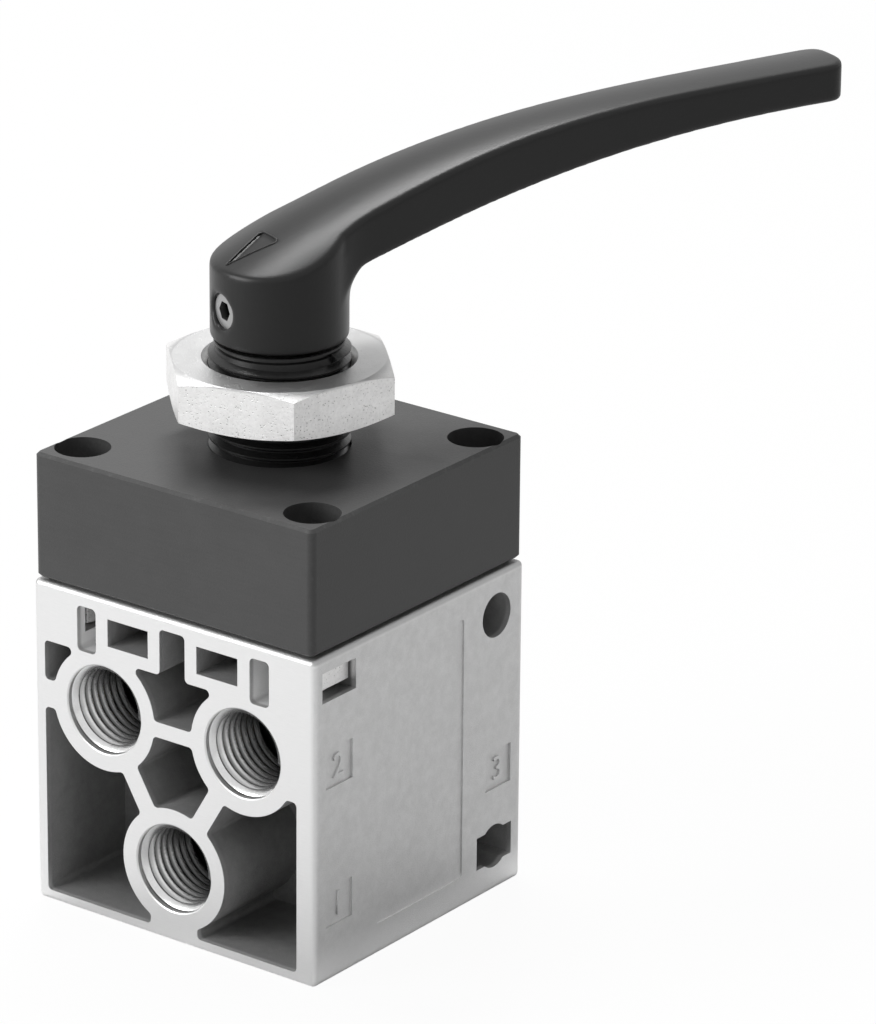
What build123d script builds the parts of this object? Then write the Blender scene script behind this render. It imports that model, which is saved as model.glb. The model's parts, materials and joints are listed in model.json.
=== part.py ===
"""Hand lever air valve, 5/2 way, for panel mounting, with G1/4 ports.

Two poppet valves stand side by side in a ribbed die-cast body. A head block on top carries a
threaded neck, and a lever on the neck's spindle turns a face cam that presses one valve down
and lets the other rise.

Millimetres. The origin is the middle of the body's base, below the spindle. +X points to the
right along the front face, +Y to the rear and +Z up along the spindle.
"""

from build123d import *
from math import cos, radians, sin, sqrt
import os

os.makedirs("parts", exist_ok=True)

# ---------------------------------------------------------------- driving dimensions

# body casting
body_width = 50.0
body_depth = 48.0
body_height = 49.0
body_edge_radius = 0.8

# G1/4 ports: 4 and 2 above 1 on the front face, 5 and 3 on the rear face
port_thread_radius = 13.157 / 2
port_thread_depth = 12.0
port_mouth_chamfer = 0.2
port_drill_radius = 4.75
port_boss_radius = 9.1
outlet_port_drop = 16.9
inlet_port_height = 11.2
exhaust_port_height = 18.9

# cast pockets of the front face
pocket_depth = 17.2
pocket_corner_radius = 0.7
pocket_left_wall = 1.9
pocket_right_wall = 3.1
pocket_floor_wall = 1.65
deck_thickness = 8.9
level_rib_width = 2.3
level_rib_drop = 0.35
slanted_rib_width = 3.0
left_rib_width = 4.2
right_rib_width = 9.6
foot_rib_width = 8.4
stem_pocket_width = 4.5
upper_pocket_top_wall = 2.0

# core slots and nut pockets of the deck
slot_width = 3.4
slot_height = 6.8
slot_offset = 15.4
slot_depth = 15.0
slot_corner_radius = 0.75
front_nut_pocket_width = 7.25
front_nut_pocket_height = 4.1
front_nut_pocket_offset = 7.95
front_nut_pocket_depth = 12.0
front_nut_pocket_top_wall = 2.9

# cast pockets of the rear face
rear_pocket_depth = 9.0
rear_pocket_side_wall = 2.6
rear_pocket_top = 36.4
rear_pocket_bottom = 13.6
rear_rib_width = 2.4
rear_side_rib_height = 11.8

# side faces
mounting_hole_radius = 3.3
mounting_hole_y = 17.6
upper_mounting_hole_drop = 6.4
mounting_hole_spacing = 35.6
side_panel_width = 20.0
side_panel_bottom = 4.75
side_panel_height = 39.75
side_panel_depth = 0.2
digit_box_size = 5.9
digit_box_depth = 0.35
digit_box_edge = 18.4
spare_window_width = 8.2
spare_window_height = 5.0
spare_window_depth = 8.5

# valve cartridges
valve_spacing = 24.8
stroke = 2.2
bore_radius = 5.5
fit_clearance = 0.05
running_clearance = 0.04
seat_clearance = 0.05
sleeve_length = 23.5
sleeve_top_drop = 9.0
sleeve_seat_radius = 3.0
sleeve_seat_lip = 0.5
sleeve_chamber_radius = 4.0
sleeve_end_wall = 3.0
sleeve_window_width = 4.0
sleeve_window_height = 7.0
sleeve_channel_depth = 0.5
o_ring_section_radius = 0.7
o_ring_sides = 6
o_ring_groove_width = 1.6
seal_radius = 4.2
seal_thickness = 1.2
poppet_radius = 4.6
poppet_thickness = 1.3
valve_stem_radius = 1.6
upper_stem_radius = 2.0
lower_pin_length = 3.4
guide_bush_height = 4.0
exhaust_passage_radius = 2.4
exhaust_passage_y = 10.8
exhaust_passage_inset = 0.5
inlet_channel_radius = 3.2
plug_bottom = 1.6
plug_top = 5.5
ring_groove_depth = 0.7
ring_thickness = 0.9
ring_width = 1.5
ring_gap = 3.2
spring_mean_radius = 3.1
spring_wire_radius = 0.4
spring_turns = 4

# head block
gasket_thickness = 0.4
gasket_inset = 1.0
head_width = 49.2
head_height = 18.6
head_corner_radius = 1.0
head_edge_chamfer = 0.45
cam_cavity_radius = 17.2
head_roof_thickness = 7.5
screw_spacing_x = 40.6
screw_spacing_y = 37.0
screw_radius = 2.0
screw_hole_radius = 2.25
screw_head_radius = 3.5
screw_head_height = 4.0
screw_socket_width = 3.0
screw_socket_depth = 2.0
counterbore_radius = 4.0
screw_seat_depth = 9.6
long_screw_length = 16.0
short_screw_length = 12.0
screw_tip_clearance = 0.2
square_nut_width = 7.0
square_nut_thickness = 3.2
side_nut_window_width = 7.5
side_nut_window_height = 4.5
side_nut_window_top_wall = 2.25

# spindle, cam and detent
spindle_radius = 4.0
spindle_end_clearance = 0.2
lever_throw = 42.0
cam_radius = 16.4
cam_track_inner_radius = 8.9
cam_web_thickness = 4.0
cam_rim_clearance = 0.3
cam_clearance = 0.25
cam_pin_radius = 1.0
cam_pin_length = 14.0
thrust_washer_thickness = 0.7
thrust_washer_radius = 7.6
detent_circle_radius = 14.0
detent_ball_radius = 2.0
detent_dimple_depth = 0.5
detent_hole_roof = 1.1
detent_clearance = 0.1
detent_wire_radius = 0.25
detent_turns = 2

# tappets
tappet_head_radius = 2.7
tappet_head_thickness = 1.2
tappet_dome_rise = 0.8
tappet_seat_gap = 0.3

# mounting neck and panel nut
neck_radius = 10.0
neck_thread_length = 20.4
neck_thread_chamfer = 0.8
neck_flange_radius = 11.5
neck_flange_thickness = 1.5
neck_collar_radius = 9.2
neck_collar_height = 2.7
neck_bore_radius = 6.0
bush_length = 8.0
nut_width = 30.0
nut_thickness = 7.0
nut_rise = 5.9
nut_chamfer_angle = 20.0
nut_countersink = 0.9
nut_turn = 14.8

# hand lever: heights rise from the hub to the tip, thicknesses hang below the crest
lever_angle = 69.0
lever_neck_gap = 0.5
lever_hub_radius = 9.7
lever_hub_height = 10.0
lever_reach = 92.4
lever_tip_half_width = 4.5
lever_shoulder_distance = 14.0
lever_shoulder_half_width = 6.85
lever_shoulder_rise = 9.9
lever_waist_distance = 28.0
lever_waist_half_width = 5.9
lever_crest_distance = 41.0
lever_crest_rise = 5.0
lever_grip_distance = 48.0
lever_grip_half_width = 4.8
lever_grip_end_distance = 66.0
lever_grip_end_rise = 1.3
lever_tip_rise = 0.1
lever_leave_angle = 60.0
lever_tip_corner_radius = 2.4
lever_crown_radius = 21.0
lever_crown_margin = 4.0
lever_heel_thickness = 2.4
lever_under_distance = 52.0
lever_under_drop = 6.5
lever_tip_thickness = 6.1
lever_throat_radius = 7.8
lever_throat_rise = 3.1
lever_bottom_radius = 2.4
lever_bore_depth = 10.6
set_screw_radius = 2.5
set_screw_length = 5.2
set_screw_rise = 4.9
set_screw_socket_width = 2.5
set_screw_socket_depth = 2.0
set_screw_flat_depth = 0.4

# ---------------------------------------------------------------- derived places

valve_x = valve_spacing / 2
front_y = -body_depth / 2
rear_y = body_depth / 2
pocket_top = body_height - deck_thickness
outlet_port_height = body_height - outlet_port_drop
upper_mounting_hole_height = body_height - upper_mounting_hole_drop
lower_mounting_hole_height = upper_mounting_hole_height - mounting_hole_spacing
sleeve_top = body_height - sleeve_top_drop
sleeve_bottom = sleeve_top - sleeve_length
rear_rib_end = valve_x + sqrt(port_boss_radius**2 - (rear_side_rib_height / 2)**2)
rear_pocket_end = body_width / 2 - rear_pocket_side_wall
rear_pocket_fillet = min(pocket_corner_radius, (rear_pocket_end - rear_rib_end) / 3)
head_bottom = body_height + gasket_thickness
head_top = head_bottom + head_height
screw_seat_height = head_top - screw_seat_depth
cam_cavity_roof = head_top - head_roof_thickness
detent_hole_depth = head_roof_thickness - detent_hole_roof
bush_bottom = body_height - guide_bush_height
neck_bottom = cam_cavity_roof - neck_flange_thickness
cam_rim_top = cam_cavity_roof - cam_rim_clearance
cam_web_top = neck_bottom - thrust_washer_thickness
cam_high_height = cam_web_top - cam_web_thickness
cam_low_height = cam_high_height - stroke
neck_thread_top = cam_cavity_roof + neck_thread_length
neck_top = neck_thread_top + neck_collar_height
nut_bottom = head_top + nut_rise
o_ring_turn = 180 / o_ring_sides
spindle_bottom = cam_low_height
lever_hub_bottom = neck_top + lever_neck_gap
lever_back_height = lever_hub_bottom + lever_hub_height
lever_shoulder_height = lever_back_height + lever_shoulder_rise
lever_crest_height = lever_shoulder_height + lever_crest_rise
lever_grip_end_height = lever_crest_height + lever_grip_end_rise
lever_tip_height = lever_grip_end_height + lever_tip_rise
lever_heel_height = lever_back_height - lever_heel_thickness
lever_throat_top = lever_back_height + lever_throat_rise
lever_throat_bottom = lever_throat_top - lever_throat_radius
lever_throat_reach = lever_hub_radius + lever_throat_radius
lever_crown_width = 2 * lever_hub_radius + lever_crown_margin
set_screw_base = spindle_radius - set_screw_flat_depth
spindle_top = lever_hub_bottom + lever_bore_depth - spindle_end_clearance
side_sign = {"left": -1, "right": 1}
valve_lift = {"left": stroke, "right": 0.0}
port_points = [(-valve_x, outlet_port_height), (valve_x, outlet_port_height),
               (0, inlet_port_height)]
exhaust_points = [(-valve_x, exhaust_port_height), (valve_x, exhaust_port_height)]

front_plane = Plane(origin=(0, front_y, 0), x_dir=(1, 0, 0), z_dir=(0, -1, 0))
rear_plane = Plane(origin=(0, rear_y, 0), x_dir=(-1, 0, 0), z_dir=(0, 1, 0))
right_plane = Plane(origin=(body_width / 2, 0, 0), x_dir=(0, 1, 0), z_dir=(1, 0, 0))
left_plane = Plane(origin=(-body_width / 2, 0, 0), x_dir=(0, -1, 0), z_dir=(-1, 0, 0))


# ---------------------------------------------------------------- valve body

with BuildPart() as valve_body:
    with BuildSketch(Plane.XY):
        Rectangle(body_width, body_depth)
    extrude(amount=body_height)
    fillet(valve_body.edges(), body_edge_radius)

    # front pockets: one field, in which the port bosses and the ribs between them stay
    with BuildSketch(front_plane) as front_pockets:
        field_left = -body_width / 2 + pocket_left_wall
        field_right = body_width / 2 - pocket_right_wall
        with Locations((field_left, pocket_floor_wall)):
            Rectangle(field_right - field_left, pocket_top - pocket_floor_wall,
                      align=(Align.MIN, Align.MIN))
        with Locations((0, pocket_top)):
            Rectangle(stem_pocket_width, deck_thickness - upper_pocket_top_wall,
                      align=(Align.CENTER, Align.MIN))
        with Locations(*port_points):
            Circle(port_boss_radius, mode=Mode.SUBTRACT)
        with Locations((0, outlet_port_height - level_rib_drop)):
            Rectangle(valve_spacing, level_rib_width, mode=Mode.SUBTRACT)
        with Locations((-body_width / 2, outlet_port_height)):
            Rectangle(body_width / 2 - valve_x, left_rib_width,
                      align=(Align.MIN, Align.CENTER), mode=Mode.SUBTRACT)
        with Locations((body_width / 2, outlet_port_height - right_rib_width / 2)):
            Rectangle(body_width / 2 - valve_x, body_height,
                      align=(Align.MAX, Align.MIN), mode=Mode.SUBTRACT)
        with Locations((0, 0)):
            Rectangle(foot_rib_width, inlet_port_height,
                      align=(Align.CENTER, Align.MIN), mode=Mode.SUBTRACT)
        port_drop = outlet_port_height - inlet_port_height
        slant = Vector(valve_x, port_drop).get_angle(Vector(1, 0))
        for turn in (slant, 180 - slant):
            with Locations(Location((0, inlet_port_height), turn)):
                Rectangle(sqrt(valve_x**2 + port_drop**2), slanted_rib_width,
                          align=(Align.MIN, Align.CENTER), mode=Mode.SUBTRACT)
        fillet(front_pockets.vertices(), pocket_corner_radius)
    extrude(amount=-pocket_depth, mode=Mode.SUBTRACT)

    # core slots and nut pockets in the deck above the ports
    with BuildSketch(front_plane):
        with Locations((-slot_offset, pocket_top), (slot_offset, pocket_top)):
            RectangleRounded(slot_width, slot_height, slot_corner_radius,
                             align=(Align.CENTER, Align.MIN))
    extrude(amount=-slot_depth, mode=Mode.SUBTRACT)
    with BuildSketch(front_plane):
        nut_pocket_top = body_height - front_nut_pocket_top_wall
        with Locations((-front_nut_pocket_offset, nut_pocket_top),
                       (front_nut_pocket_offset, nut_pocket_top)):
            Rectangle(front_nut_pocket_width, front_nut_pocket_height,
                      align=(Align.CENTER, Align.MAX))
    extrude(amount=-front_nut_pocket_depth, mode=Mode.SUBTRACT)

    # rear pockets round the exhaust port bosses
    with BuildSketch(rear_plane) as rear_pockets:
        with Locations((0, rear_pocket_bottom)):
            Rectangle(body_width - 2 * rear_pocket_side_wall,
                      rear_pocket_top - rear_pocket_bottom, align=(Align.CENTER, Align.MIN))
        with Locations(*exhaust_points):
            Circle(port_boss_radius, mode=Mode.SUBTRACT)
        with Locations((0, exhaust_port_height)):
            Rectangle(body_width, level_rib_width, mode=Mode.SUBTRACT)
        for sign in (-1, 1):
            with Locations((sign * body_width / 2, exhaust_port_height)):
                Rectangle(body_width - valve_spacing, rear_side_rib_height,
                          mode=Mode.SUBTRACT)
        with Locations((0, exhaust_port_height)):
            Rectangle(rear_rib_width, body_height, align=(Align.CENTER, Align.MIN),
                      mode=Mode.SUBTRACT)
        fillet(rear_pockets.vertices(), rear_pocket_fillet)
    extrude(amount=-rear_pocket_depth, mode=Mode.SUBTRACT)

    # cartridge bores with the grooves of their retaining rings
    with BuildSketch(Plane.XY):
        with Locations((-valve_x, 0), (valve_x, 0)):
            Circle(bore_radius)
    extrude(amount=body_height, mode=Mode.SUBTRACT)
    with BuildSketch(Plane.XY.offset(plug_bottom - fit_clearance)):
        with Locations((-valve_x, 0), (valve_x, 0)):
            Circle(bore_radius + ring_groove_depth)
    extrude(amount=ring_thickness + fit_clearance, mode=Mode.SUBTRACT)

    # threaded ports and their drillings
    with BuildSketch(front_plane):
        with Locations(*port_points):
            Circle(port_thread_radius)
    extrude(amount=-port_thread_depth, mode=Mode.SUBTRACT)
    with BuildSketch(front_plane):
        with Locations(*port_points):
            Circle(port_drill_radius)
    extrude(amount=-body_depth / 2, mode=Mode.SUBTRACT)
    with BuildSketch(rear_plane):
        with Locations(*exhaust_points):
            Circle(port_thread_radius)
    extrude(amount=-port_thread_depth, mode=Mode.SUBTRACT)
    with BuildSketch(rear_plane):
        with Locations(*exhaust_points):
            Circle(port_drill_radius)
    exhaust_drill_depth = (rear_y - exhaust_passage_y + exhaust_passage_radius
                           + exhaust_passage_inset)
    extrude(amount=-exhaust_drill_depth, mode=Mode.SUBTRACT)

    # inlet channel from bore to bore, and exhaust passages down to the rear ports
    with BuildSketch(Plane.YZ.offset(-valve_x)):
        with Locations((0, inlet_port_height)):
            Circle(inlet_channel_radius)
    extrude(amount=valve_spacing, mode=Mode.SUBTRACT)
    with BuildSketch(Plane.XY.offset(exhaust_port_height)):
        with Locations((-valve_x, exhaust_passage_y), (valve_x, exhaust_passage_y)):
            Circle(exhaust_passage_radius)
    passage_top = bush_bottom - exhaust_passage_inset
    extrude(amount=passage_top - exhaust_port_height, mode=Mode.SUBTRACT)
    with BuildSketch(Plane.XY.offset(sleeve_top + exhaust_passage_inset)):
        with Locations((-valve_x, 0), (valve_x, 0)):
            Rectangle(2 * exhaust_passage_radius, exhaust_passage_y,
                      align=(Align.CENTER, Align.MIN))
    extrude(amount=passage_top - sleeve_top - exhaust_passage_inset, mode=Mode.SUBTRACT)

    # mounting holes right through, along X
    with BuildSketch(left_plane):
        with Locations((-mounting_hole_y, upper_mounting_hole_height),
                       (-mounting_hole_y, lower_mounting_hole_height)):
            Circle(mounting_hole_radius)
    extrude(amount=-body_width, mode=Mode.SUBTRACT)

    # head screws: clearance holes into side nut pockets in front, tapped holes behind
    with BuildSketch(Plane.XY.offset(body_height)):
        with Locations((-screw_spacing_x / 2, -screw_spacing_y / 2),
                       (screw_spacing_x / 2, -screw_spacing_y / 2)):
            Circle(screw_hole_radius)
    long_screw_tip = screw_seat_height - long_screw_length
    extrude(amount=long_screw_tip - screw_tip_clearance - body_height, mode=Mode.SUBTRACT)
    with BuildSketch(Plane.XY.offset(body_height)):
        with Locations((-screw_spacing_x / 2, screw_spacing_y / 2),
                       (screw_spacing_x / 2, screw_spacing_y / 2)):
            Circle(screw_radius + running_clearance)
    short_screw_tip = screw_seat_height - short_screw_length
    extrude(amount=short_screw_tip - screw_tip_clearance - body_height, mode=Mode.SUBTRACT)

    # side faces: nut windows, bare label panel and boxes for the port numbers
    for face_plane, face_sign in ((right_plane, 1), (left_plane, -1)):
        nut_window_top = body_height - side_nut_window_top_wall
        with BuildSketch(face_plane):
            with Locations((-face_sign * screw_spacing_y / 2, nut_window_top)):
                Rectangle(side_nut_window_width, side_nut_window_height,
                          align=(Align.CENTER, Align.MAX))
        nut_window_depth = (body_width - screw_spacing_x + side_nut_window_width) / 2
        extrude(amount=-nut_window_depth, mode=Mode.SUBTRACT)
        with BuildSketch(face_plane):
            with Locations((face_sign * mounting_hole_y, lower_mounting_hole_height)):
                Rectangle(spare_window_width, spare_window_height)
        extrude(amount=-spare_window_depth, mode=Mode.SUBTRACT)
        with BuildSketch(face_plane):
            with Locations((0, side_panel_bottom)):
                RectangleRounded(side_panel_width, side_panel_height, pocket_corner_radius,
                                 align=(Align.CENTER, Align.MIN))
        extrude(amount=-side_panel_depth, mode=Mode.SUBTRACT)
        with BuildSketch(face_plane):
            with Locations((-face_sign * digit_box_edge, outlet_port_height),
                           (-face_sign * digit_box_edge, inlet_port_height),
                           (face_sign * digit_box_edge, exhaust_port_height)):
                Rectangle(digit_box_size, digit_box_size)
        extrude(amount=-digit_box_depth, mode=Mode.SUBTRACT)

    # chamfered mouths of the threaded ports
    for face_plane, mouth_points in ((front_plane, port_points), (rear_plane, exhaust_points)):
        with BuildSketch(face_plane):
            with Locations(*mouth_points):
                Circle(port_thread_radius + port_mouth_chamfer)
        extrude(amount=-port_mouth_chamfer, taper=45, mode=Mode.SUBTRACT)
valve_body.part.label = "valve_body"
export_step(valve_body.part, "parts/valve_body.step")


# ---------------------------------------------------------------- head block and gasket

screw_corners = [(x * screw_spacing_x / 2, y * screw_spacing_y / 2)
                 for x in (-1, 1) for y in (-1, 1)]
detent_points = [(0, -detent_circle_radius), (0, detent_circle_radius)]

with BuildPart() as head_gasket:
    with BuildSketch(Plane.XY.offset(body_height)):
        RectangleRounded(head_width - 2 * gasket_inset, body_depth - 2 * gasket_inset,
                         head_corner_radius)
        with Locations((-valve_x, 0), (valve_x, 0)):
            Circle(tappet_head_radius + tappet_seat_gap, mode=Mode.SUBTRACT)
        with Locations(*screw_corners):
            Circle(screw_hole_radius, mode=Mode.SUBTRACT)
    extrude(amount=gasket_thickness)
head_gasket.part.label = "head_gasket"
export_step(head_gasket.part, "parts/head_gasket.step")

with BuildPart() as head_block:
    with BuildSketch(Plane.XY.offset(head_bottom)):
        Rectangle(head_width, body_depth)
    extrude(amount=head_top - head_bottom)
    fillet(head_block.edges().filter_by(Axis.Z), head_corner_radius)
    chamfer(head_block.faces().filter_by(Axis.Z).edges(), head_edge_chamfer)
    with BuildSketch(Plane.XY.offset(head_bottom)):
        Circle(cam_cavity_radius)
    extrude(amount=cam_cavity_roof - head_bottom, mode=Mode.SUBTRACT)
    with BuildSketch(Plane.XY.offset(head_top)):
        Circle(neck_radius + fit_clearance)
    extrude(amount=cam_cavity_roof - head_top, mode=Mode.SUBTRACT)
    with Locations(Plane.XY.offset(head_top)):
        with Locations(*screw_corners):
            CounterBoreHole(screw_hole_radius, counterbore_radius,
                            head_top - screw_seat_height, head_top - head_bottom)
    with BuildSketch(Plane.XY.offset(cam_cavity_roof)):
        with Locations(*detent_points):
            Circle(detent_ball_radius + fit_clearance)
    extrude(amount=detent_hole_depth, mode=Mode.SUBTRACT)
head_block.part.label = "head_block"
export_step(head_block.part, "parts/head_block.step")


# ---------------------------------------------------------------- head screws and nuts

def cap_screw(length):
    """Socket cap screw with its seat at the screw seat height, pointing down."""
    with BuildPart(mode=Mode.PRIVATE) as screw:
        with BuildSketch(Plane.XY.offset(screw_seat_height)):
            Circle(screw_head_radius)
        extrude(amount=screw_head_height)
        with BuildSketch(Plane.XY.offset(screw_seat_height)):
            Circle(screw_radius)
        extrude(amount=-length)
        with BuildSketch(Plane.XY.offset(screw_seat_height + screw_head_height)):
            RegularPolygon(screw_socket_width / 2, 6, major_radius=False)
        extrude(amount=-screw_socket_depth, mode=Mode.SUBTRACT)
    return screw.part


with BuildPart() as head_screws_long:
    with Locations(*[point for point in screw_corners if point[1] < 0]):
        add(cap_screw(long_screw_length))
head_screws_long.part.label = "head_screws_long"
export_step(head_screws_long.part, "parts/head_screws_long.step")

with BuildPart() as head_screws_short:
    with Locations(*[point for point in screw_corners if point[1] > 0]):
        add(cap_screw(short_screw_length))
head_screws_short.part.label = "head_screws_short"
export_step(head_screws_short.part, "parts/head_screws_short.step")

with BuildPart() as square_nuts:
    with BuildSketch(Plane.XY.offset(body_height - side_nut_window_top_wall)):
        with Locations(*[point for point in screw_corners if point[1] < 0]):
            Rectangle(square_nut_width, square_nut_width)
            Circle(screw_radius + running_clearance, mode=Mode.SUBTRACT)
    extrude(amount=-square_nut_thickness)
square_nuts.part.label = "square_nuts"
export_step(square_nuts.part, "parts/square_nuts.step")


# ---------------------------------------------------------------- neck, panel nut and bushes

with BuildPart() as mounting_neck:
    with BuildSketch(Plane.XY.offset(neck_bottom)):
        Circle(neck_flange_radius)
    extrude(amount=neck_flange_thickness)
    with BuildSketch(Plane.XY.offset(cam_cavity_roof)):
        Circle(neck_radius)
    extrude(amount=neck_thread_top - cam_cavity_roof)
    chamfer(mounting_neck.edges().group_by(Axis.Z)[-1], neck_thread_chamfer)
    with BuildSketch(Plane.XY.offset(neck_thread_top)):
        Circle(neck_collar_radius)
    extrude(amount=neck_collar_height)
    with BuildSketch(Plane.XY.offset(neck_bottom)):
        Circle(neck_bore_radius)
    extrude(amount=neck_top - neck_bottom, mode=Mode.SUBTRACT)
mounting_neck.part.label = "mounting_neck"
export_step(mounting_neck.part, "parts/mounting_neck.step")

with BuildPart() as panel_nut:
    nut_corner_radius = nut_width / sqrt(3)
    nut_face_rise = (nut_corner_radius - nut_width / 2) * sin(radians(nut_chamfer_angle))
    with BuildSketch(Plane.XY.offset(nut_bottom)):
        RegularPolygon(nut_width / 2, 6, major_radius=False, rotation=nut_turn)
    extrude(amount=nut_thickness)
    # the flats are turned down to a cone at both ends
    with BuildSketch(Plane.XZ) as nut_cones:
        with BuildLine():
            Polyline((0, nut_bottom), (nut_width / 2, nut_bottom),
                     (nut_corner_radius, nut_bottom + nut_face_rise),
                     (nut_corner_radius, nut_bottom + nut_thickness - nut_face_rise),
                     (nut_width / 2, nut_bottom + nut_thickness),
                     (0, nut_bottom + nut_thickness), close=True)
        make_face()
    revolve(axis=Axis.Z, mode=Mode.INTERSECT)
    with BuildSketch(Plane.XY.offset(nut_bottom)):
        Circle(neck_radius + fit_clearance)
    extrude(amount=nut_thickness, mode=Mode.SUBTRACT)
    chamfer(panel_nut.edges().filter_by(GeomType.CIRCLE).filter_by(
        lambda edge: edge.radius < neck_radius + 2 * fit_clearance), nut_countersink)
panel_nut.part.label = "panel_nut"
export_step(panel_nut.part, "parts/panel_nut.step")

neck_o_ring_height = neck_bottom + bush_length + 2 * o_ring_section_radius
for bush_name, bush_base in (("lower_bush", neck_bottom), ("upper_bush", neck_top - bush_length)):
    with BuildPart() as spindle_bush:
        with BuildSketch(Plane.XY.offset(bush_base)):
            Circle(neck_bore_radius - fit_clearance)
            Circle(spindle_radius + running_clearance, mode=Mode.SUBTRACT)
        extrude(amount=bush_length)
    spindle_bush.part.label = bush_name
    export_step(spindle_bush.part, f"parts/{bush_name}.step")

with BuildPart() as spindle_o_ring:
    with BuildSketch(Plane.XZ):
        with Locations(((spindle_radius + neck_bore_radius) / 2, neck_o_ring_height)):
            RegularPolygon((neck_bore_radius - spindle_radius) / 2 - fit_clearance,
                           o_ring_sides, major_radius=False, rotation=o_ring_turn)
    revolve(axis=Axis.Z)
spindle_o_ring.part.label = "spindle_o_ring"
export_step(spindle_o_ring.part, "parts/spindle_o_ring.step")

with BuildPart() as thrust_washer:
    with BuildSketch(Plane.XY.offset(neck_bottom)):
        Circle(thrust_washer_radius)
        Circle(spindle_radius + 2 * fit_clearance, mode=Mode.SUBTRACT)
    extrude(amount=-thrust_washer_thickness)
thrust_washer.part.label = "thrust_washer"
export_step(thrust_washer.part, "parts/thrust_washer.step")


# ---------------------------------------------------------------- spindle, cam and detent

cam_pin_height = (cam_high_height + cam_web_top) / 2
lever_plane = Plane.XY.rotated((0, 0, lever_angle))

with BuildPart() as spindle:
    with BuildSketch(Plane.XY.offset(spindle_bottom)):
        Circle(spindle_radius)
    extrude(amount=spindle_top - spindle_bottom)
    with BuildSketch(Plane.YZ.offset(-cam_radius)):
        with Locations((0, cam_pin_height)):
            Circle(cam_pin_radius + fit_clearance)
    extrude(amount=2 * cam_radius, mode=Mode.SUBTRACT)
    # flat for the lever's set screw, on the side away from the handle
    with BuildSketch(lever_plane.offset(lever_hub_bottom)):
        with Locations((set_screw_flat_depth - spindle_radius, 0)):
            Rectangle(spindle_radius, 2 * spindle_radius, align=(Align.MAX, Align.CENTER))
    extrude(amount=lever_bore_depth, mode=Mode.SUBTRACT)
spindle.part.label = "spindle"
export_step(spindle.part, "parts/spindle.step")


def cam_track_sketch(z, start, sweep_angle):
    """Sector of the cam track at height z, from start over sweep_angle degrees."""
    with BuildSketch(Plane.XY.offset(z), mode=Mode.PRIVATE) as sector:
        with BuildLine():
            inner = CenterArc((0, 0), cam_track_inner_radius, start, sweep_angle)
            outer = CenterArc((0, 0), cam_radius, start, sweep_angle)
            Line(inner @ 0, outer @ 0)
            Line(inner @ 1, outer @ 1)
        make_face()
    return sector.sketch


cam_track_middle_radius = (cam_track_inner_radius + cam_radius) / 2
ramp_pitch = stroke * 360 / lever_throw


def cam_ramp(left_handed):
    """Helical ramp that rises by one stroke over the lever's throw, from angle 0."""
    with BuildPart(mode=Mode.PRIVATE) as ramp:
        with BuildLine() as ramp_path:
            Helix(ramp_pitch, stroke, cam_track_middle_radius,
                  center=(0, 0, cam_low_height), lefthand=left_handed)
        with BuildSketch(Plane.XZ):
            with Locations((cam_track_middle_radius, cam_low_height)):
                Rectangle(cam_radius - cam_track_inner_radius, stroke + cam_web_thickness / 2,
                          align=(Align.CENTER, Align.MIN))
        sweep(path=ramp_path.wire(), is_frenet=True)
    return ramp.part


with BuildPart() as face_cam:
    with BuildSketch(Plane.XY.offset(cam_high_height)):
        Circle(cam_radius)
    extrude(amount=cam_rim_top - cam_high_height)
    with BuildSketch(Plane.XY.offset(cam_rim_top)):
        Circle(neck_flange_radius + tappet_seat_gap)
    extrude(amount=cam_web_top - cam_rim_top, mode=Mode.SUBTRACT)
    # low land, which presses a tappet down, with a ramp at each end
    with BuildSketch(Plane.XY.offset(cam_low_height)):
        with BuildLine():
            low_inner = CenterArc((0, 0), cam_track_inner_radius, 0, 180 - lever_throw)
            low_outer = CenterArc((0, 0), cam_radius, 0, 180 - lever_throw)
            Line(low_inner @ 0, low_outer @ 0)
            Line(low_inner @ 1, low_outer @ 1)
        make_face()
    extrude(amount=stroke)
    add(cam_ramp(left_handed=True))
    with Locations(Location((0, 0, 0), (0, 0, 180 - lever_throw))):
        add(cam_ramp(left_handed=False))
    with BuildSketch(Plane.XY.offset(cam_low_height)):
        Circle(spindle_radius + fit_clearance)
    extrude(amount=cam_rim_top - cam_low_height, mode=Mode.SUBTRACT)
    # cross hole for the pin that drives the cam, drilled in from the rim
    with BuildSketch(Plane.YZ.offset(-cam_pin_length / 2)):
        with Locations((0, cam_pin_height)):
            Circle(cam_pin_radius + fit_clearance)
    extrude(amount=cam_radius + cam_pin_length / 2, mode=Mode.SUBTRACT)
    # dimples under the detent balls at both ends of the throw
    for dimple_turn in (0, -lever_throw):
        for detent_side in (90, 270):
            dimple_angle = radians(detent_side + dimple_turn)
            dimple_centre = (detent_circle_radius * cos(dimple_angle),
                             detent_circle_radius * sin(dimple_angle),
                             cam_rim_top + detent_ball_radius - detent_dimple_depth)
            with Locations(dimple_centre):
                Sphere(detent_ball_radius, mode=Mode.SUBTRACT)
face_cam.part.label = "face_cam"
export_step(face_cam.part, "parts/face_cam.step")

with BuildPart() as cam_pin:
    with BuildSketch(Plane.YZ.offset(-cam_pin_length / 2 + fit_clearance)):
        with Locations((0, cam_pin_height)):
            Circle(cam_pin_radius)
    extrude(amount=cam_pin_length)
cam_pin.part.label = "cam_pin"
export_step(cam_pin.part, "parts/cam_pin.step")

detent_ball_height = cam_rim_top + detent_clearance + detent_ball_radius
with BuildPart() as detent_balls:
    for detent_point in detent_points:
        with Locations((*detent_point, detent_ball_height)):
            Sphere(detent_ball_radius)
detent_balls.part.label = "detent_balls"
export_step(detent_balls.part, "parts/detent_balls.step")


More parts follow.
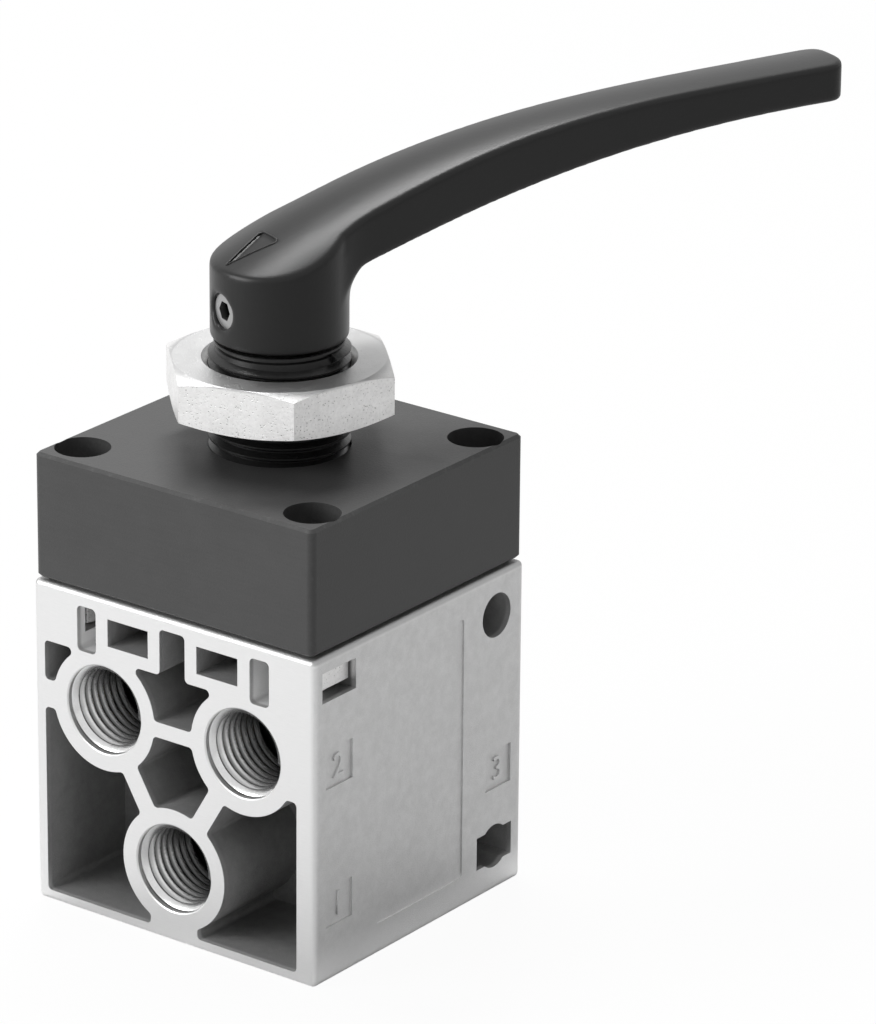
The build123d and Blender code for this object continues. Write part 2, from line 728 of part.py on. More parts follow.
def coil_spring(mean_radius, wire_radius, turns, length):
    """Helical compression spring of this length over its end coils, standing on z = 0."""
    rise = length - 2 * wire_radius
    with BuildPart(mode=Mode.PRIVATE) as coil:
        with BuildLine() as coil_path:
            Helix(rise / turns, rise, mean_radius, center=(0, 0, wire_radius))
        with BuildSketch(Plane(origin=coil_path.line @ 0, x_dir=(1, 0, 0),
                               z_dir=coil_path.line % 0)):
            Rectangle(2 * wire_radius, 2 * wire_radius)
        sweep(path=coil_path.wire(), is_frenet=True)
    return coil.part


detent_spring_bottom = detent_ball_height + detent_ball_radius
detent_spring_length = cam_cavity_roof + detent_hole_depth - detent_spring_bottom
with BuildPart() as detent_springs:
    for detent_point in detent_points:
        with Locations((*detent_point, detent_spring_bottom)):
            add(coil_spring(detent_ball_radius - 2 * detent_wire_radius, detent_wire_radius,
                            detent_turns, detent_spring_length))
detent_springs.part.label = "detent_springs"
export_step(detent_springs.part, "parts/detent_springs.step")


# ---------------------------------------------------------------- valve cartridges

upper_flange_bottom = sleeve_top + seat_clearance + seal_thickness
upper_flange_top = upper_flange_bottom + poppet_thickness
lower_seal_top = sleeve_bottom - seat_clearance - stroke
lower_poppet_top = lower_seal_top - seal_thickness
lower_poppet_bottom = lower_poppet_top - poppet_thickness
tappet_top = cam_low_height - cam_clearance
tappet_head_bottom = tappet_top - tappet_dome_rise - tappet_head_thickness
tappet_bottom = bush_bottom + guide_bush_height / 2
sleeve_groove_offset = (sleeve_end_wall + sleeve_seat_lip) / 2
sleeve_grooves = (sleeve_bottom + sleeve_groove_offset, sleeve_top - sleeve_groove_offset)
groove_depth = 2 * o_ring_section_radius + fit_clearance
plug_groove = (plug_bottom + plug_top) / 2

for side, sign in side_sign.items():
    x = sign * valve_x
    lift = valve_lift[side]
    axis_up = Axis((x, 0, 0), (0, 0, 1))

    # tappet: domed head under the cam, rod in the guide bush
    with BuildPart() as tappet:
        with BuildSketch(Plane(origin=(x, 0, lift), x_dir=(1, 0, 0), z_dir=(0, -1, 0))):
            with BuildLine():
                Polyline((0, tappet_top), (0, tappet_bottom),
                         (upper_stem_radius, tappet_bottom),
                         (upper_stem_radius, tappet_head_bottom),
                         (tappet_head_radius, tappet_head_bottom),
                         (tappet_head_radius, tappet_top - tappet_dome_rise))
                dome_radius = (tappet_head_radius**2 + tappet_dome_rise**2) / (
                    2 * tappet_dome_rise)
                RadiusArc((tappet_head_radius, tappet_top - tappet_dome_rise),
                          (0, tappet_top), -dome_radius)
            make_face()
        revolve(axis=axis_up)
    tappet.part.label = f"{side}_tappet"
    export_step(tappet.part, f"parts/{side}_tappet.step")

    # plunger: stem with the exhaust poppet's flange
    with BuildPart() as plunger:
        with BuildSketch(Plane.XY.offset(upper_flange_bottom + lift)):
            with Locations((x, 0)):
                Circle(poppet_radius)
        extrude(amount=poppet_thickness)
        with BuildSketch(Plane.XY.offset(tappet_bottom + lift)):
            with Locations((x, 0)):
                Circle(upper_stem_radius)
        extrude(amount=upper_flange_top - tappet_bottom)
        with BuildSketch(Plane.XY.offset(upper_flange_bottom + lift)):
            with Locations((x, 0)):
                Circle(valve_stem_radius)
        extrude(amount=lower_poppet_bottom - lower_pin_length - upper_flange_bottom)
    plunger.part.label = f"{side}_plunger"
    export_step(plunger.part, f"parts/{side}_plunger.step")

    # inlet poppet, fixed on the stem below the sleeve
    with BuildPart() as inlet_poppet:
        with BuildSketch(Plane.XY.offset(lower_poppet_bottom + lift)):
            with Locations((x, 0)):
                Circle(poppet_radius)
                Circle(valve_stem_radius + running_clearance, mode=Mode.SUBTRACT)
        extrude(amount=poppet_thickness)
    inlet_poppet.part.label = f"{side}_inlet_poppet"
    export_step(inlet_poppet.part, f"parts/{side}_inlet_poppet.step")

    # rubber seals of both poppets
    for seal_name, seal_base in (("exhaust_seal", upper_flange_bottom - seal_thickness),
                                 ("inlet_seal", lower_poppet_top)):
        with BuildPart() as poppet_seal:
            with BuildSketch(Plane.XY.offset(seal_base + lift)):
                with Locations((x, 0)):
                    Circle(seal_radius)
                    Circle(valve_stem_radius + running_clearance, mode=Mode.SUBTRACT)
            extrude(amount=seal_thickness)
        poppet_seal.part.label = f"{side}_{seal_name}"
        export_step(poppet_seal.part, f"parts/{side}_{seal_name}.step")

    # valve sleeve: a seat at each end, four windows to the outlet, two ring grooves
    with BuildPart() as valve_sleeve:
        sleeve_radius = bore_radius - fit_clearance
        with BuildSketch(Plane.XY.offset(sleeve_bottom)):
            with Locations((x, 0)):
                Circle(sleeve_radius)
        extrude(amount=sleeve_top - sleeve_bottom)
        with BuildSketch(Plane.XY.offset(sleeve_bottom)):
            with Locations((x, 0)):
                Circle(sleeve_seat_radius)
        extrude(amount=sleeve_top - sleeve_bottom, mode=Mode.SUBTRACT)
        with BuildSketch(Plane.XY.offset(sleeve_bottom + sleeve_end_wall)):
            with Locations((x, 0)):
                Circle(sleeve_chamber_radius)
        extrude(amount=sleeve_top - sleeve_bottom - 2 * sleeve_end_wall, mode=Mode.SUBTRACT)
        # raised seat edges
        for end_z, end_sign in ((sleeve_bottom, 1), (sleeve_top, -1)):
            with BuildSketch(Plane.XY.offset(end_z)):
                with Locations((x, 0)):
                    Circle(sleeve_radius)
                    Circle(sleeve_seat_radius + sleeve_seat_lip, mode=Mode.SUBTRACT)
            extrude(amount=end_sign * sleeve_seat_lip, mode=Mode.SUBTRACT)
        # channel round the windows
        channel_height = sleeve_window_height + 2 * sleeve_seat_lip
        with BuildSketch(Plane.XY.offset(outlet_port_height - channel_height / 2)):
            with Locations((x, 0)):
                Circle(sleeve_radius)
                Circle(sleeve_radius - sleeve_channel_depth, mode=Mode.SUBTRACT)
        extrude(amount=channel_height, mode=Mode.SUBTRACT)
        for window_x_dir, window_z_dir in (((1, 0, 0), (0, -1, 0)), ((0, 1, 0), (1, 0, 0))):
            with BuildSketch(Plane((x, 0, outlet_port_height), window_x_dir, window_z_dir)):
                Rectangle(sleeve_window_width, sleeve_window_height)
            extrude(amount=sleeve_radius, both=True, mode=Mode.SUBTRACT)
        for groove_middle in sleeve_grooves:
            with BuildSketch(Plane.XY.offset(groove_middle - o_ring_groove_width / 2)):
                with Locations((x, 0)):
                    Circle(sleeve_radius)
                    Circle(sleeve_radius - groove_depth, mode=Mode.SUBTRACT)
            extrude(amount=o_ring_groove_width, mode=Mode.SUBTRACT)
    valve_sleeve.part.label = f"{side}_valve_sleeve"
    export_step(valve_sleeve.part, f"parts/{side}_valve_sleeve.step")

    # rings in the sleeve's grooves, in the plug's groove and round the plunger's stem
    for ring_name, ring_heights, ring_middle_radius in (
            ("sleeve_o_rings", sleeve_grooves,
             bore_radius - fit_clearance - o_ring_section_radius),
            ("plug_o_ring", [plug_groove],
             bore_radius - fit_clearance - o_ring_section_radius),
            ("stem_o_ring", [bush_bottom + o_ring_section_radius + fit_clearance],
             upper_stem_radius + fit_clearance + o_ring_section_radius)):
        with BuildPart() as o_ring:
            for ring_height in ring_heights:
                with BuildSketch(Plane(origin=(x, 0, ring_height), x_dir=(1, 0, 0),
                                       z_dir=(0, -1, 0))):
                    with Locations((ring_middle_radius, 0)):
                        RegularPolygon(o_ring_section_radius, o_ring_sides,
                                       major_radius=False, rotation=o_ring_turn)
                revolve(axis=axis_up)
        o_ring.part.label = f"{side}_{ring_name}"
        export_step(o_ring.part, f"parts/{side}_{ring_name}.step")

    # guide bush, flush with the deck, with a recess for the stem's ring
    with BuildPart() as guide_bush:
        with BuildSketch(Plane.XY.offset(bush_bottom)):
            with Locations((x, 0)):
                Circle(bore_radius - fit_clearance)
                Circle(upper_stem_radius + running_clearance, mode=Mode.SUBTRACT)
        extrude(amount=guide_bush_height)
        with BuildSketch(Plane.XY.offset(bush_bottom)):
            with Locations((x, 0)):
                Circle(upper_stem_radius + groove_depth + fit_clearance)
        extrude(amount=o_ring_groove_width, mode=Mode.SUBTRACT)
    guide_bush.part.label = f"{side}_guide_bush"
    export_step(guide_bush.part, f"parts/{side}_guide_bush.step")

    # plug that closes the bore from below and carries the return spring
    with BuildPart() as bottom_plug:
        with BuildSketch(Plane.XY.offset(plug_bottom + ring_thickness)):
            with Locations((x, 0)):
                Circle(bore_radius - fit_clearance)
        extrude(amount=plug_top - plug_bottom - ring_thickness)
        with BuildSketch(Plane.XY.offset(plug_groove - o_ring_groove_width / 2)):
            with Locations((x, 0)):
                Circle(bore_radius)
                Circle(bore_radius - fit_clearance - groove_depth, mode=Mode.SUBTRACT)
        extrude(amount=o_ring_groove_width, mode=Mode.SUBTRACT)
    bottom_plug.part.label = f"{side}_bottom_plug"
    export_step(bottom_plug.part, f"parts/{side}_bottom_plug.step")

    # open retaining ring below the plug
    with BuildPart() as plug_ring:
        with BuildSketch(Plane.XY.offset(plug_bottom)):
            with Locations((x, 0)):
                Circle(bore_radius + ring_groove_depth - fit_clearance)
                Circle(bore_radius + ring_groove_depth - ring_width, mode=Mode.SUBTRACT)
            with Locations((x, -bore_radius)):
                Rectangle(ring_gap, 2 * ring_width, mode=Mode.SUBTRACT)
        extrude(amount=ring_thickness)
    plug_ring.part.label = f"{side}_retaining_ring"
    export_step(plug_ring.part, f"parts/{side}_retaining_ring.step")

    # return spring between plug and inlet poppet
    with BuildPart() as return_spring:
        with Locations((x, 0, plug_top)):
            add(coil_spring(spring_mean_radius, spring_wire_radius, spring_turns,
                            lower_poppet_bottom + lift - plug_top))
    return_spring.part.label = f"{side}_return_spring"
    export_step(return_spring.part, f"parts/{side}_return_spring.step")


# ---------------------------------------------------------------- hand lever

lever_side_plane = Plane(origin=(0, 0, 0), x_dir=lever_plane.x_dir,
                         z_dir=lever_plane.y_dir * -1)
set_screw_plane = Plane(origin=(0, 0, lever_hub_bottom + set_screw_rise),
                        x_dir=lever_plane.y_dir * -1, z_dir=lever_plane.x_dir * -1)

# plan outline of the arm, from the hub's middle to the square tip
with BuildSketch(lever_plane.offset(lever_hub_bottom)) as lever_plan:
    with BuildLine():
        leave = radians(lever_leave_angle)
        leave_point = (lever_hub_radius * cos(leave), lever_hub_radius * sin(leave))
        waist = Spline(leave_point, (lever_shoulder_distance, lever_shoulder_half_width),
                       (lever_waist_distance, lever_waist_half_width),
                       (lever_grip_distance, lever_grip_half_width),
                       (lever_reach, lever_tip_half_width),
                       tangents=[(sin(leave), -cos(leave)), (1, 0)])
        mirror(waist, about=Plane.XZ)
        Line((lever_reach, lever_tip_half_width), (lever_reach, -lever_tip_half_width))
        Polyline(leave_point, (0, 0), (leave_point[0], -leave_point[1]))
    make_face()
    fillet(lever_plan.vertices().sort_by(Axis.X)[-2:], lever_tip_corner_radius)

# throat: a hollow flare round the hub, kept where the arm stands above it
with BuildPart() as lever_throat:
    add(lever_plan.sketch)
    extrude(amount=lever_throat_top - lever_hub_bottom)
    with BuildSketch(lever_side_plane):
        with BuildLine():
            Line((0, lever_throat_bottom), (lever_hub_radius, lever_throat_bottom))
            flare = RadiusArc((lever_hub_radius, lever_throat_bottom),
                              (lever_throat_reach, lever_throat_top), lever_throat_radius)
            Polyline(flare @ 1, (0, lever_throat_top), (0, lever_throat_bottom))
        make_face()
    revolve(axis=Axis.Z, mode=Mode.INTERSECT)

with BuildPart() as hand_lever:
    add(lever_plan.sketch)
    extrude(amount=lever_tip_height + lever_crown_margin - lever_hub_bottom)
    # side outline of underside and crest, cut through the plan form
    with BuildSketch(lever_side_plane):
        with BuildLine():
            under = ThreePointArc((0, lever_heel_height),
                                  (lever_under_distance, lever_crest_height - lever_under_drop),
                                  (lever_reach, lever_tip_height - lever_tip_thickness))
            crest = Spline((-lever_crown_width / 2, lever_back_height),
                           (lever_shoulder_distance, lever_shoulder_height),
                           (lever_crest_distance, lever_crest_height),
                           (lever_grip_end_distance, lever_grip_end_height),
                           (lever_reach, lever_tip_height))
            Line(crest @ 1, under @ 1)
            Polyline(crest @ 0, (-lever_crown_width / 2, lever_heel_height), under @ 0)
        make_face()
    extrude(amount=lever_crown_width, both=True, mode=Mode.INTERSECT)
    lever_axis = Axis((0, 0, 0), lever_plane.x_dir)
    lever_under_edges = hand_lever.faces().sort_by(Axis.Z)[0].edges()
    fillet(lever_under_edges.sort_by(lever_axis)[1:], lever_bottom_radius)

    # round hub and throat
    with BuildSketch(lever_plane.offset(lever_hub_bottom)):
        Circle(lever_hub_radius)
    extrude(amount=lever_shoulder_height - lever_hub_bottom)
    add(lever_throat.part)

    # crowned top: an arc swept along the crest
    crest_path = lever_side_plane.from_local_coords(crest)
    with BuildSketch(Plane(origin=crest_path @ 0, x_dir=lever_plane.y_dir,
                           z_dir=crest_path % 0)):
        with BuildLine():
            crown_drop = lever_crown_radius - sqrt(
                lever_crown_radius**2 - (lever_crown_width / 2)**2)
            crown = ThreePointArc((-lever_crown_width / 2, -crown_drop), (0, 0),
                                  (lever_crown_width / 2, -crown_drop))
            Polyline(crown @ 1, (lever_crown_width / 2, lever_crown_width),
                     (-lever_crown_width / 2, lever_crown_width), crown @ 0)
        make_face()
    sweep(path=crest_path, mode=Mode.SUBTRACT)

    # spindle bore and tapped hole for the set screw, opposite the handle
    with BuildSketch(lever_plane.offset(lever_hub_bottom)):
        Circle(spindle_radius + fit_clearance)
    extrude(amount=lever_bore_depth, mode=Mode.SUBTRACT)
    with BuildSketch(set_screw_plane):
        Circle(set_screw_radius + running_clearance)
    extrude(amount=lever_hub_radius, mode=Mode.SUBTRACT)
hand_lever.part.label = "hand_lever"
export_step(hand_lever.part, "parts/hand_lever.step")

with BuildPart() as lever_set_screw:
    with BuildSketch(set_screw_plane.offset(set_screw_base)):
        Circle(set_screw_radius)
    extrude(amount=set_screw_length)
    with BuildSketch(set_screw_plane.offset(set_screw_base + set_screw_length)):
        RegularPolygon(set_screw_socket_width / 2, 6, major_radius=False)
    extrude(amount=-set_screw_socket_depth, mode=Mode.SUBTRACT)
lever_set_screw.part.label = "lever_set_screw"
export_step(lever_set_screw.part, "parts/lever_set_screw.step")
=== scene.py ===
"""Looks of the hand lever air valve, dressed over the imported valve.

Every node gets its finish. Five port threads, six raised port numbers and the rim of the
arrow are added. A threaded neck and a smooth cast lever stand for the plain ones.
"""

import json
import math

import bmesh
import bpy
import numpy as np
from mathutils import Matrix, Vector
from mathutils.bvhtree import BVHTree


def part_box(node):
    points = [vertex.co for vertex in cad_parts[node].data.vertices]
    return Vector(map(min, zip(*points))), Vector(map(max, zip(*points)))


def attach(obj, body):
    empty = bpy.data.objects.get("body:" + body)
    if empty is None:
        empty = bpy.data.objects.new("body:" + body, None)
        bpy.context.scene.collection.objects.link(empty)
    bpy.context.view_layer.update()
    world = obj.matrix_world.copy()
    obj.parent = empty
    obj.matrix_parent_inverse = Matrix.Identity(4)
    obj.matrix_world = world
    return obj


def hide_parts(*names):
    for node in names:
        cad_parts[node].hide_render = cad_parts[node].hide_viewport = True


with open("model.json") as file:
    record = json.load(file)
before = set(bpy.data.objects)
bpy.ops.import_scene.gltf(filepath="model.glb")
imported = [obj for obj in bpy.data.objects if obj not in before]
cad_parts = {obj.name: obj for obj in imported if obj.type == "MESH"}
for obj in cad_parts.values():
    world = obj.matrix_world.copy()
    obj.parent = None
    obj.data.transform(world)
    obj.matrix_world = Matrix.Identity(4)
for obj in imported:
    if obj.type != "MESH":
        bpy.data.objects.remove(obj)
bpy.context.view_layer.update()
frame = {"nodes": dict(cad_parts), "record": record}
nodes = frame["nodes"]
MM = 0.001

# ------------------------------------------------------------------ sizes

body_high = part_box("valve_body")[1]
port_mounts = [m for m in frame["record"]["mounts"] if m["name"].startswith("port_")]
port_height = {m["name"]: m["pos_m"][2] for m in port_mounts}
port_wall = 6.5785 * MM  # radius of the plain bore, which is the thread's major radius
port_pitch = 1.337 * MM
port_ridge_rise = 0.86 * MM
port_ridge_root = 1.27 * MM
port_ridge_sink = 0.03 * MM
port_thread_start = 0.8 * MM
port_thread_length = 10.7 * MM

core_slot_offset = 15.4 * MM
core_slot_half_width = 1.8 * MM
core_slot_bottom = 40.0 * MM
set_screw_end = 8.8 * MM  # from the spindle's axis

neck_bore = 6.0 * MM
neck_root = 9.1 * MM
neck_flange_radius = 11.5 * MM
neck_flange_thickness = 1.5 * MM
neck_groove_radius = 8.75 * MM
neck_groove_drop = 0.9 * MM  # from the neck's top
neck_collar_radius = 9.2 * MM
neck_pitch = 1.5 * MM
neck_ridge_rise = 0.93 * MM
neck_ridge_root = 1.42 * MM
neck_ridge_sink = 0.05 * MM
neck_thread_start = 0.9 * MM  # above the flange
neck_thread_length = 21.0 * MM
neck_chamfer = 0.1 * MM
ridge_crest = 0.22 * MM
port_ridge_steps = 56  # per turn
neck_ridge_steps = 72

# ------------------------------------------------------------------ camera

view_azimuth = math.radians(36.864)
view_elevation = math.radians(21.366)
view_roll = math.radians(0.507)
view_distance = 908.965 * MM
view_shift_right = 22.1675 * MM
view_shift_up = 53.787 * MM
view_lens = 222.8  # mm, on a 36 mm sensor


def place_camera():
    """Long lens aimed past the valve's axis, turned a little about its own line of sight."""
    back = Vector((math.sin(view_azimuth) * math.cos(view_elevation),
                   -math.cos(view_azimuth) * math.cos(view_elevation),
                   math.sin(view_elevation)))
    level = (-back).cross(Vector((0, 0, 1))).normalized()
    rise = level.cross(-back).normalized()
    place = back * view_distance + level * view_shift_right + rise * view_shift_up
    right = level * math.cos(view_roll) + rise * math.sin(view_roll)
    up = rise * math.cos(view_roll) - level * math.sin(view_roll)
    lens = bpy.data.cameras.new("camera")
    lens.sensor_width = 36
    lens.lens = view_lens
    lens.clip_start = 0.05
    lens.clip_end = 20
    camera = bpy.data.objects.new("camera", lens)
    camera.matrix_world = Matrix(((right.x, up.x, back.x, place.x),
                                  (right.y, up.y, back.y, place.y),
                                  (right.z, up.z, back.z, place.z),
                                  (0, 0, 0, 1)))
    bpy.context.scene.collection.objects.link(camera)
    bpy.context.scene.camera = camera


place_camera()
bpy.context.scene.view_settings.view_transform = "Standard"

# ------------------------------------------------------------------ node helpers


class Nodes:
    """Adds nodes to one tree. A value given to an input may be a number or another output."""

    def __init__(self, tree):
        self.tree = tree

    def feed(self, socket, value):
        if isinstance(value, bpy.types.NodeSocket):
            self.tree.links.new(value, socket)
        elif value is not None:
            socket.default_value = value

    def add(self, kind, settings=(), **inputs):
        node = self.tree.nodes.new(kind)
        for key, value in dict(settings).items():
            setattr(node, key, value)
        for key, value in inputs.items():
            self.feed(node.inputs[key.replace("_", " ")], value)
        return node

    def math(self, operation, a, b=None, clamp=False):
        node = self.tree.nodes.new("ShaderNodeMath")
        node.operation = operation
        node.use_clamp = clamp
        for socket, value in zip(node.inputs, (a, b)):
            self.feed(socket, value)
        return node.outputs[0]

    def inverse(self, mask):
        return self.math("SUBTRACT", 1.0, mask)

    def squared_reach(self, a, b, centre=(0.0, 0.0)):
        """Squared distance of the point (a, b) from the centre."""
        return self.math("ADD", self.math("POWER", self.math("SUBTRACT", a, centre[0]), 2.0),
                         self.math("POWER", self.math("SUBTRACT", b, centre[1]), 2.0))

    def step(self, value, low, high):
        """0 below low, 1 above high, smooth between."""
        node = self.tree.nodes.new("ShaderNodeMapRange")
        node.interpolation_type = "SMOOTHSTEP"
        for socket, given in zip(node.inputs, (value, low, high, 0.0, 1.0)):
            self.feed(socket, given)
        return node.outputs[0]

    def mix(self, factor, a, b):
        """Mix of two colours."""
        node = self.tree.nodes.new("ShaderNodeMix")
        node.data_type = "RGBA"
        self.feed(node.inputs[0], factor)
        self.feed(node.inputs[6], a)
        self.feed(node.inputs[7], b)
        return node.outputs[2]

    def blend(self, factor, a, b):
        """Mix of two plain numbers."""
        node = self.tree.nodes.new("ShaderNodeMix")
        node.data_type = "FLOAT"
        self.feed(node.inputs[0], factor)
        self.feed(node.inputs[2], a)
        self.feed(node.inputs[3], b)
        return node.outputs[0]

    def split(self, vector):
        node = self.tree.nodes.new("ShaderNodeSeparateXYZ")
        self.feed(node.inputs[0], vector)
        return node.outputs

    def noise(self, vector, scale, detail=2.0, roughness=0.5):
        """Noise from 0 to 1. scale is per metre."""
        node = self.tree.nodes.new("ShaderNodeTexNoise")
        self.feed(node.inputs["Vector"], vector)
        self.feed(node.inputs["Scale"], scale)
        self.feed(node.inputs["Detail"], detail)
        self.feed(node.inputs["Roughness"], roughness)
        return node.outputs[0]


def grey(value, warm=0.0):
    """Neutral colour; warm tips it from blue to red."""
    return (value * (1 + warm), value, value * (1 - warm), 1.0)


def effect_group(name, inputs, outputs):
    """Empty shader node group with its sockets, and the ends to wire to."""
    tree = bpy.data.node_groups.new(name, "ShaderNodeTree")
    for label, kind, value in inputs:
        socket = tree.interface.new_socket(label, in_out="INPUT", socket_type=kind)
        if value is not None:
            socket.default_value = value
    for label in outputs:
        tree.interface.new_socket(label, in_out="OUTPUT", socket_type="NodeSocketFloat")
    make = Nodes(tree)
    entry = tree.nodes.new("NodeGroupInput").outputs
    leave = tree.nodes.new("NodeGroupOutput").inputs
    return tree, make, entry, leave


# ------------------------------------------------------------------ shared effects


def grain_effect():
    """Fine blasted or sprayed grain: a height, and a slow variation of tone."""
    tree, make, entry, leave = effect_group(
        "fine grain", [("Vector", "NodeSocketVector", None),
                       ("Grain Size", "NodeSocketFloat", 0.0003),
                       ("Patch Size", "NodeSocketFloat", 0.006)], ["Height", "Tone"])
    fine = make.noise(entry["Vector"], make.math("DIVIDE", 1.0, entry["Grain Size"]), 3.0, 0.6)
    patch = make.noise(entry["Vector"], make.math("DIVIDE", 1.0, entry["Patch Size"]), 4.0, 0.6)
    make.feed(leave["Height"], fine)
    tone = make.math("ADD", make.math("MULTIPLY", fine, 0.5), make.math("MULTIPLY", patch, 0.5))
    make.feed(leave["Tone"], tone)
    return tree


def wear_effect():
    """Wear along the edges of a box: 1 on the edges, broken up and fading within the reach."""
    breaks_scale = 700.0  # per metre
    tree, make, entry, leave = effect_group(
        "box edge wear", [("Vector", "NodeSocketVector", None),
                          ("Half Width", "NodeSocketFloat", 0.025),
                          ("Half Depth", "NodeSocketFloat", 0.024),
                          ("Low", "NodeSocketFloat", 0.0),
                          ("High", "NodeSocketFloat", 0.05),
                          ("Reach", "NodeSocketFloat", 0.0008),
                          ("Breaks", "NodeSocketFloat", 0.5)], ["Mask"])
    x, y, z = make.split(entry["Vector"])[:3]
    gaps = [make.math("SUBTRACT", entry["Half Width"], make.math("ABSOLUTE", x)),
            make.math("SUBTRACT", entry["Half Depth"], make.math("ABSOLUTE", y)),
            make.math("MINIMUM", make.math("SUBTRACT", z, entry["Low"]),
                      make.math("SUBTRACT", entry["High"], z))]
    near = [make.math("SUBTRACT", 1.0, make.math("DIVIDE", gap, entry["Reach"]), clamp=True)
            for gap in gaps]
    pairs = [make.math("MULTIPLY", near[a], near[b]) for a, b in ((0, 1), (1, 2), (2, 0))]
    edge = make.math("ADD", make.math("ADD", pairs[0], pairs[1]), pairs[2], clamp=True)
    rough = make.noise(entry["Vector"], breaks_scale, 5.0, 0.7)
    kept = make.step(rough, make.math("MULTIPLY", entry["Breaks"], 0.8),
                     make.math("ADD", entry["Breaks"], 0.12))
    make.feed(leave["Mask"], make.math("MULTIPLY", edge, kept))
    return tree


def pit_effect():
    """Small scattered pits and specks, as on a tumbled zinc-plated part."""
    cluster_scale = 900.0  # per metre
    tree, make, entry, leave = effect_group(
        "specks", [("Vector", "NodeSocketVector", None),
                   ("Spacing", "NodeSocketFloat", 0.0007),
                   ("Share", "NodeSocketFloat", 0.5)], ["Mask"])
    cells = make.add("ShaderNodeTexVoronoi", Vector=entry["Vector"],
                     Scale=make.math("DIVIDE", 1.0, entry["Spacing"]))
    spot = make.inverse(make.step(cells.outputs["Distance"], 0.12, 0.3))
    chosen = make.noise(entry["Vector"], cluster_scale)
    some = make.step(chosen, make.inverse(entry["Share"]), 0.75)
    make.feed(leave["Mask"], make.math("MULTIPLY", spot, some))
    return tree


def brush_effect():
    """Fine straight tool marks along one direction, given as the scale on each axis."""
    tree, make, entry, leave = effect_group(
        "tool marks", [("Vector", "NodeSocketVector", None),
                       ("Stretch", "NodeSocketVector", (40.0, 40.0, 4000.0))], ["Height"])
    scaled = make.add("ShaderNodeVectorMath", {"operation": "MULTIPLY"})
    make.feed(scaled.inputs[0], entry["Vector"])
    make.feed(scaled.inputs[1], entry["Stretch"])
    make.feed(leave["Height"], make.noise(scaled.outputs[0], 1.0, 3.0, 0.6))
    return tree


grain = grain_effect()
edge_wear = wear_effect()
specks = pit_effect()
tool_marks = brush_effect()

# ------------------------------------------------------------------ finishes


class Finish(Nodes):
    """One material: a Principled shader, object coordinates and the shared effects."""

    def __init__(self, name, **plain):
        self.material = bpy.data.materials.new(name)
        self.material.use_nodes = True
        super().__init__(self.material.node_tree)
        self.shader = self.tree.nodes["Principled BSDF"]
        self.place = self.add("ShaderNodeTexCoord").outputs["Object"]
        for key, value in plain.items():
            self.shader.inputs[key.replace("_", " ")].default_value = value

    def effect(self, tree, **inputs):
        node = self.tree.nodes.new("ShaderNodeGroup")
        node.node_tree = tree
        self.feed(node.inputs["Vector"], self.place)
        for key, value in inputs.items():
            self.feed(node.inputs[key.replace("_", " ")], value)
        return node.outputs

    def bump(self, height, depth):
        """depth is in metres for a height from 0 to 1."""
        return self.add("ShaderNodeBump", Height=height, Distance=depth, Strength=1.0).outputs[0]

    def send(self, **inputs):
        for key, value in inputs.items():
            self.feed(self.shader.inputs[key.replace("_", " ")], value)
        return self.material


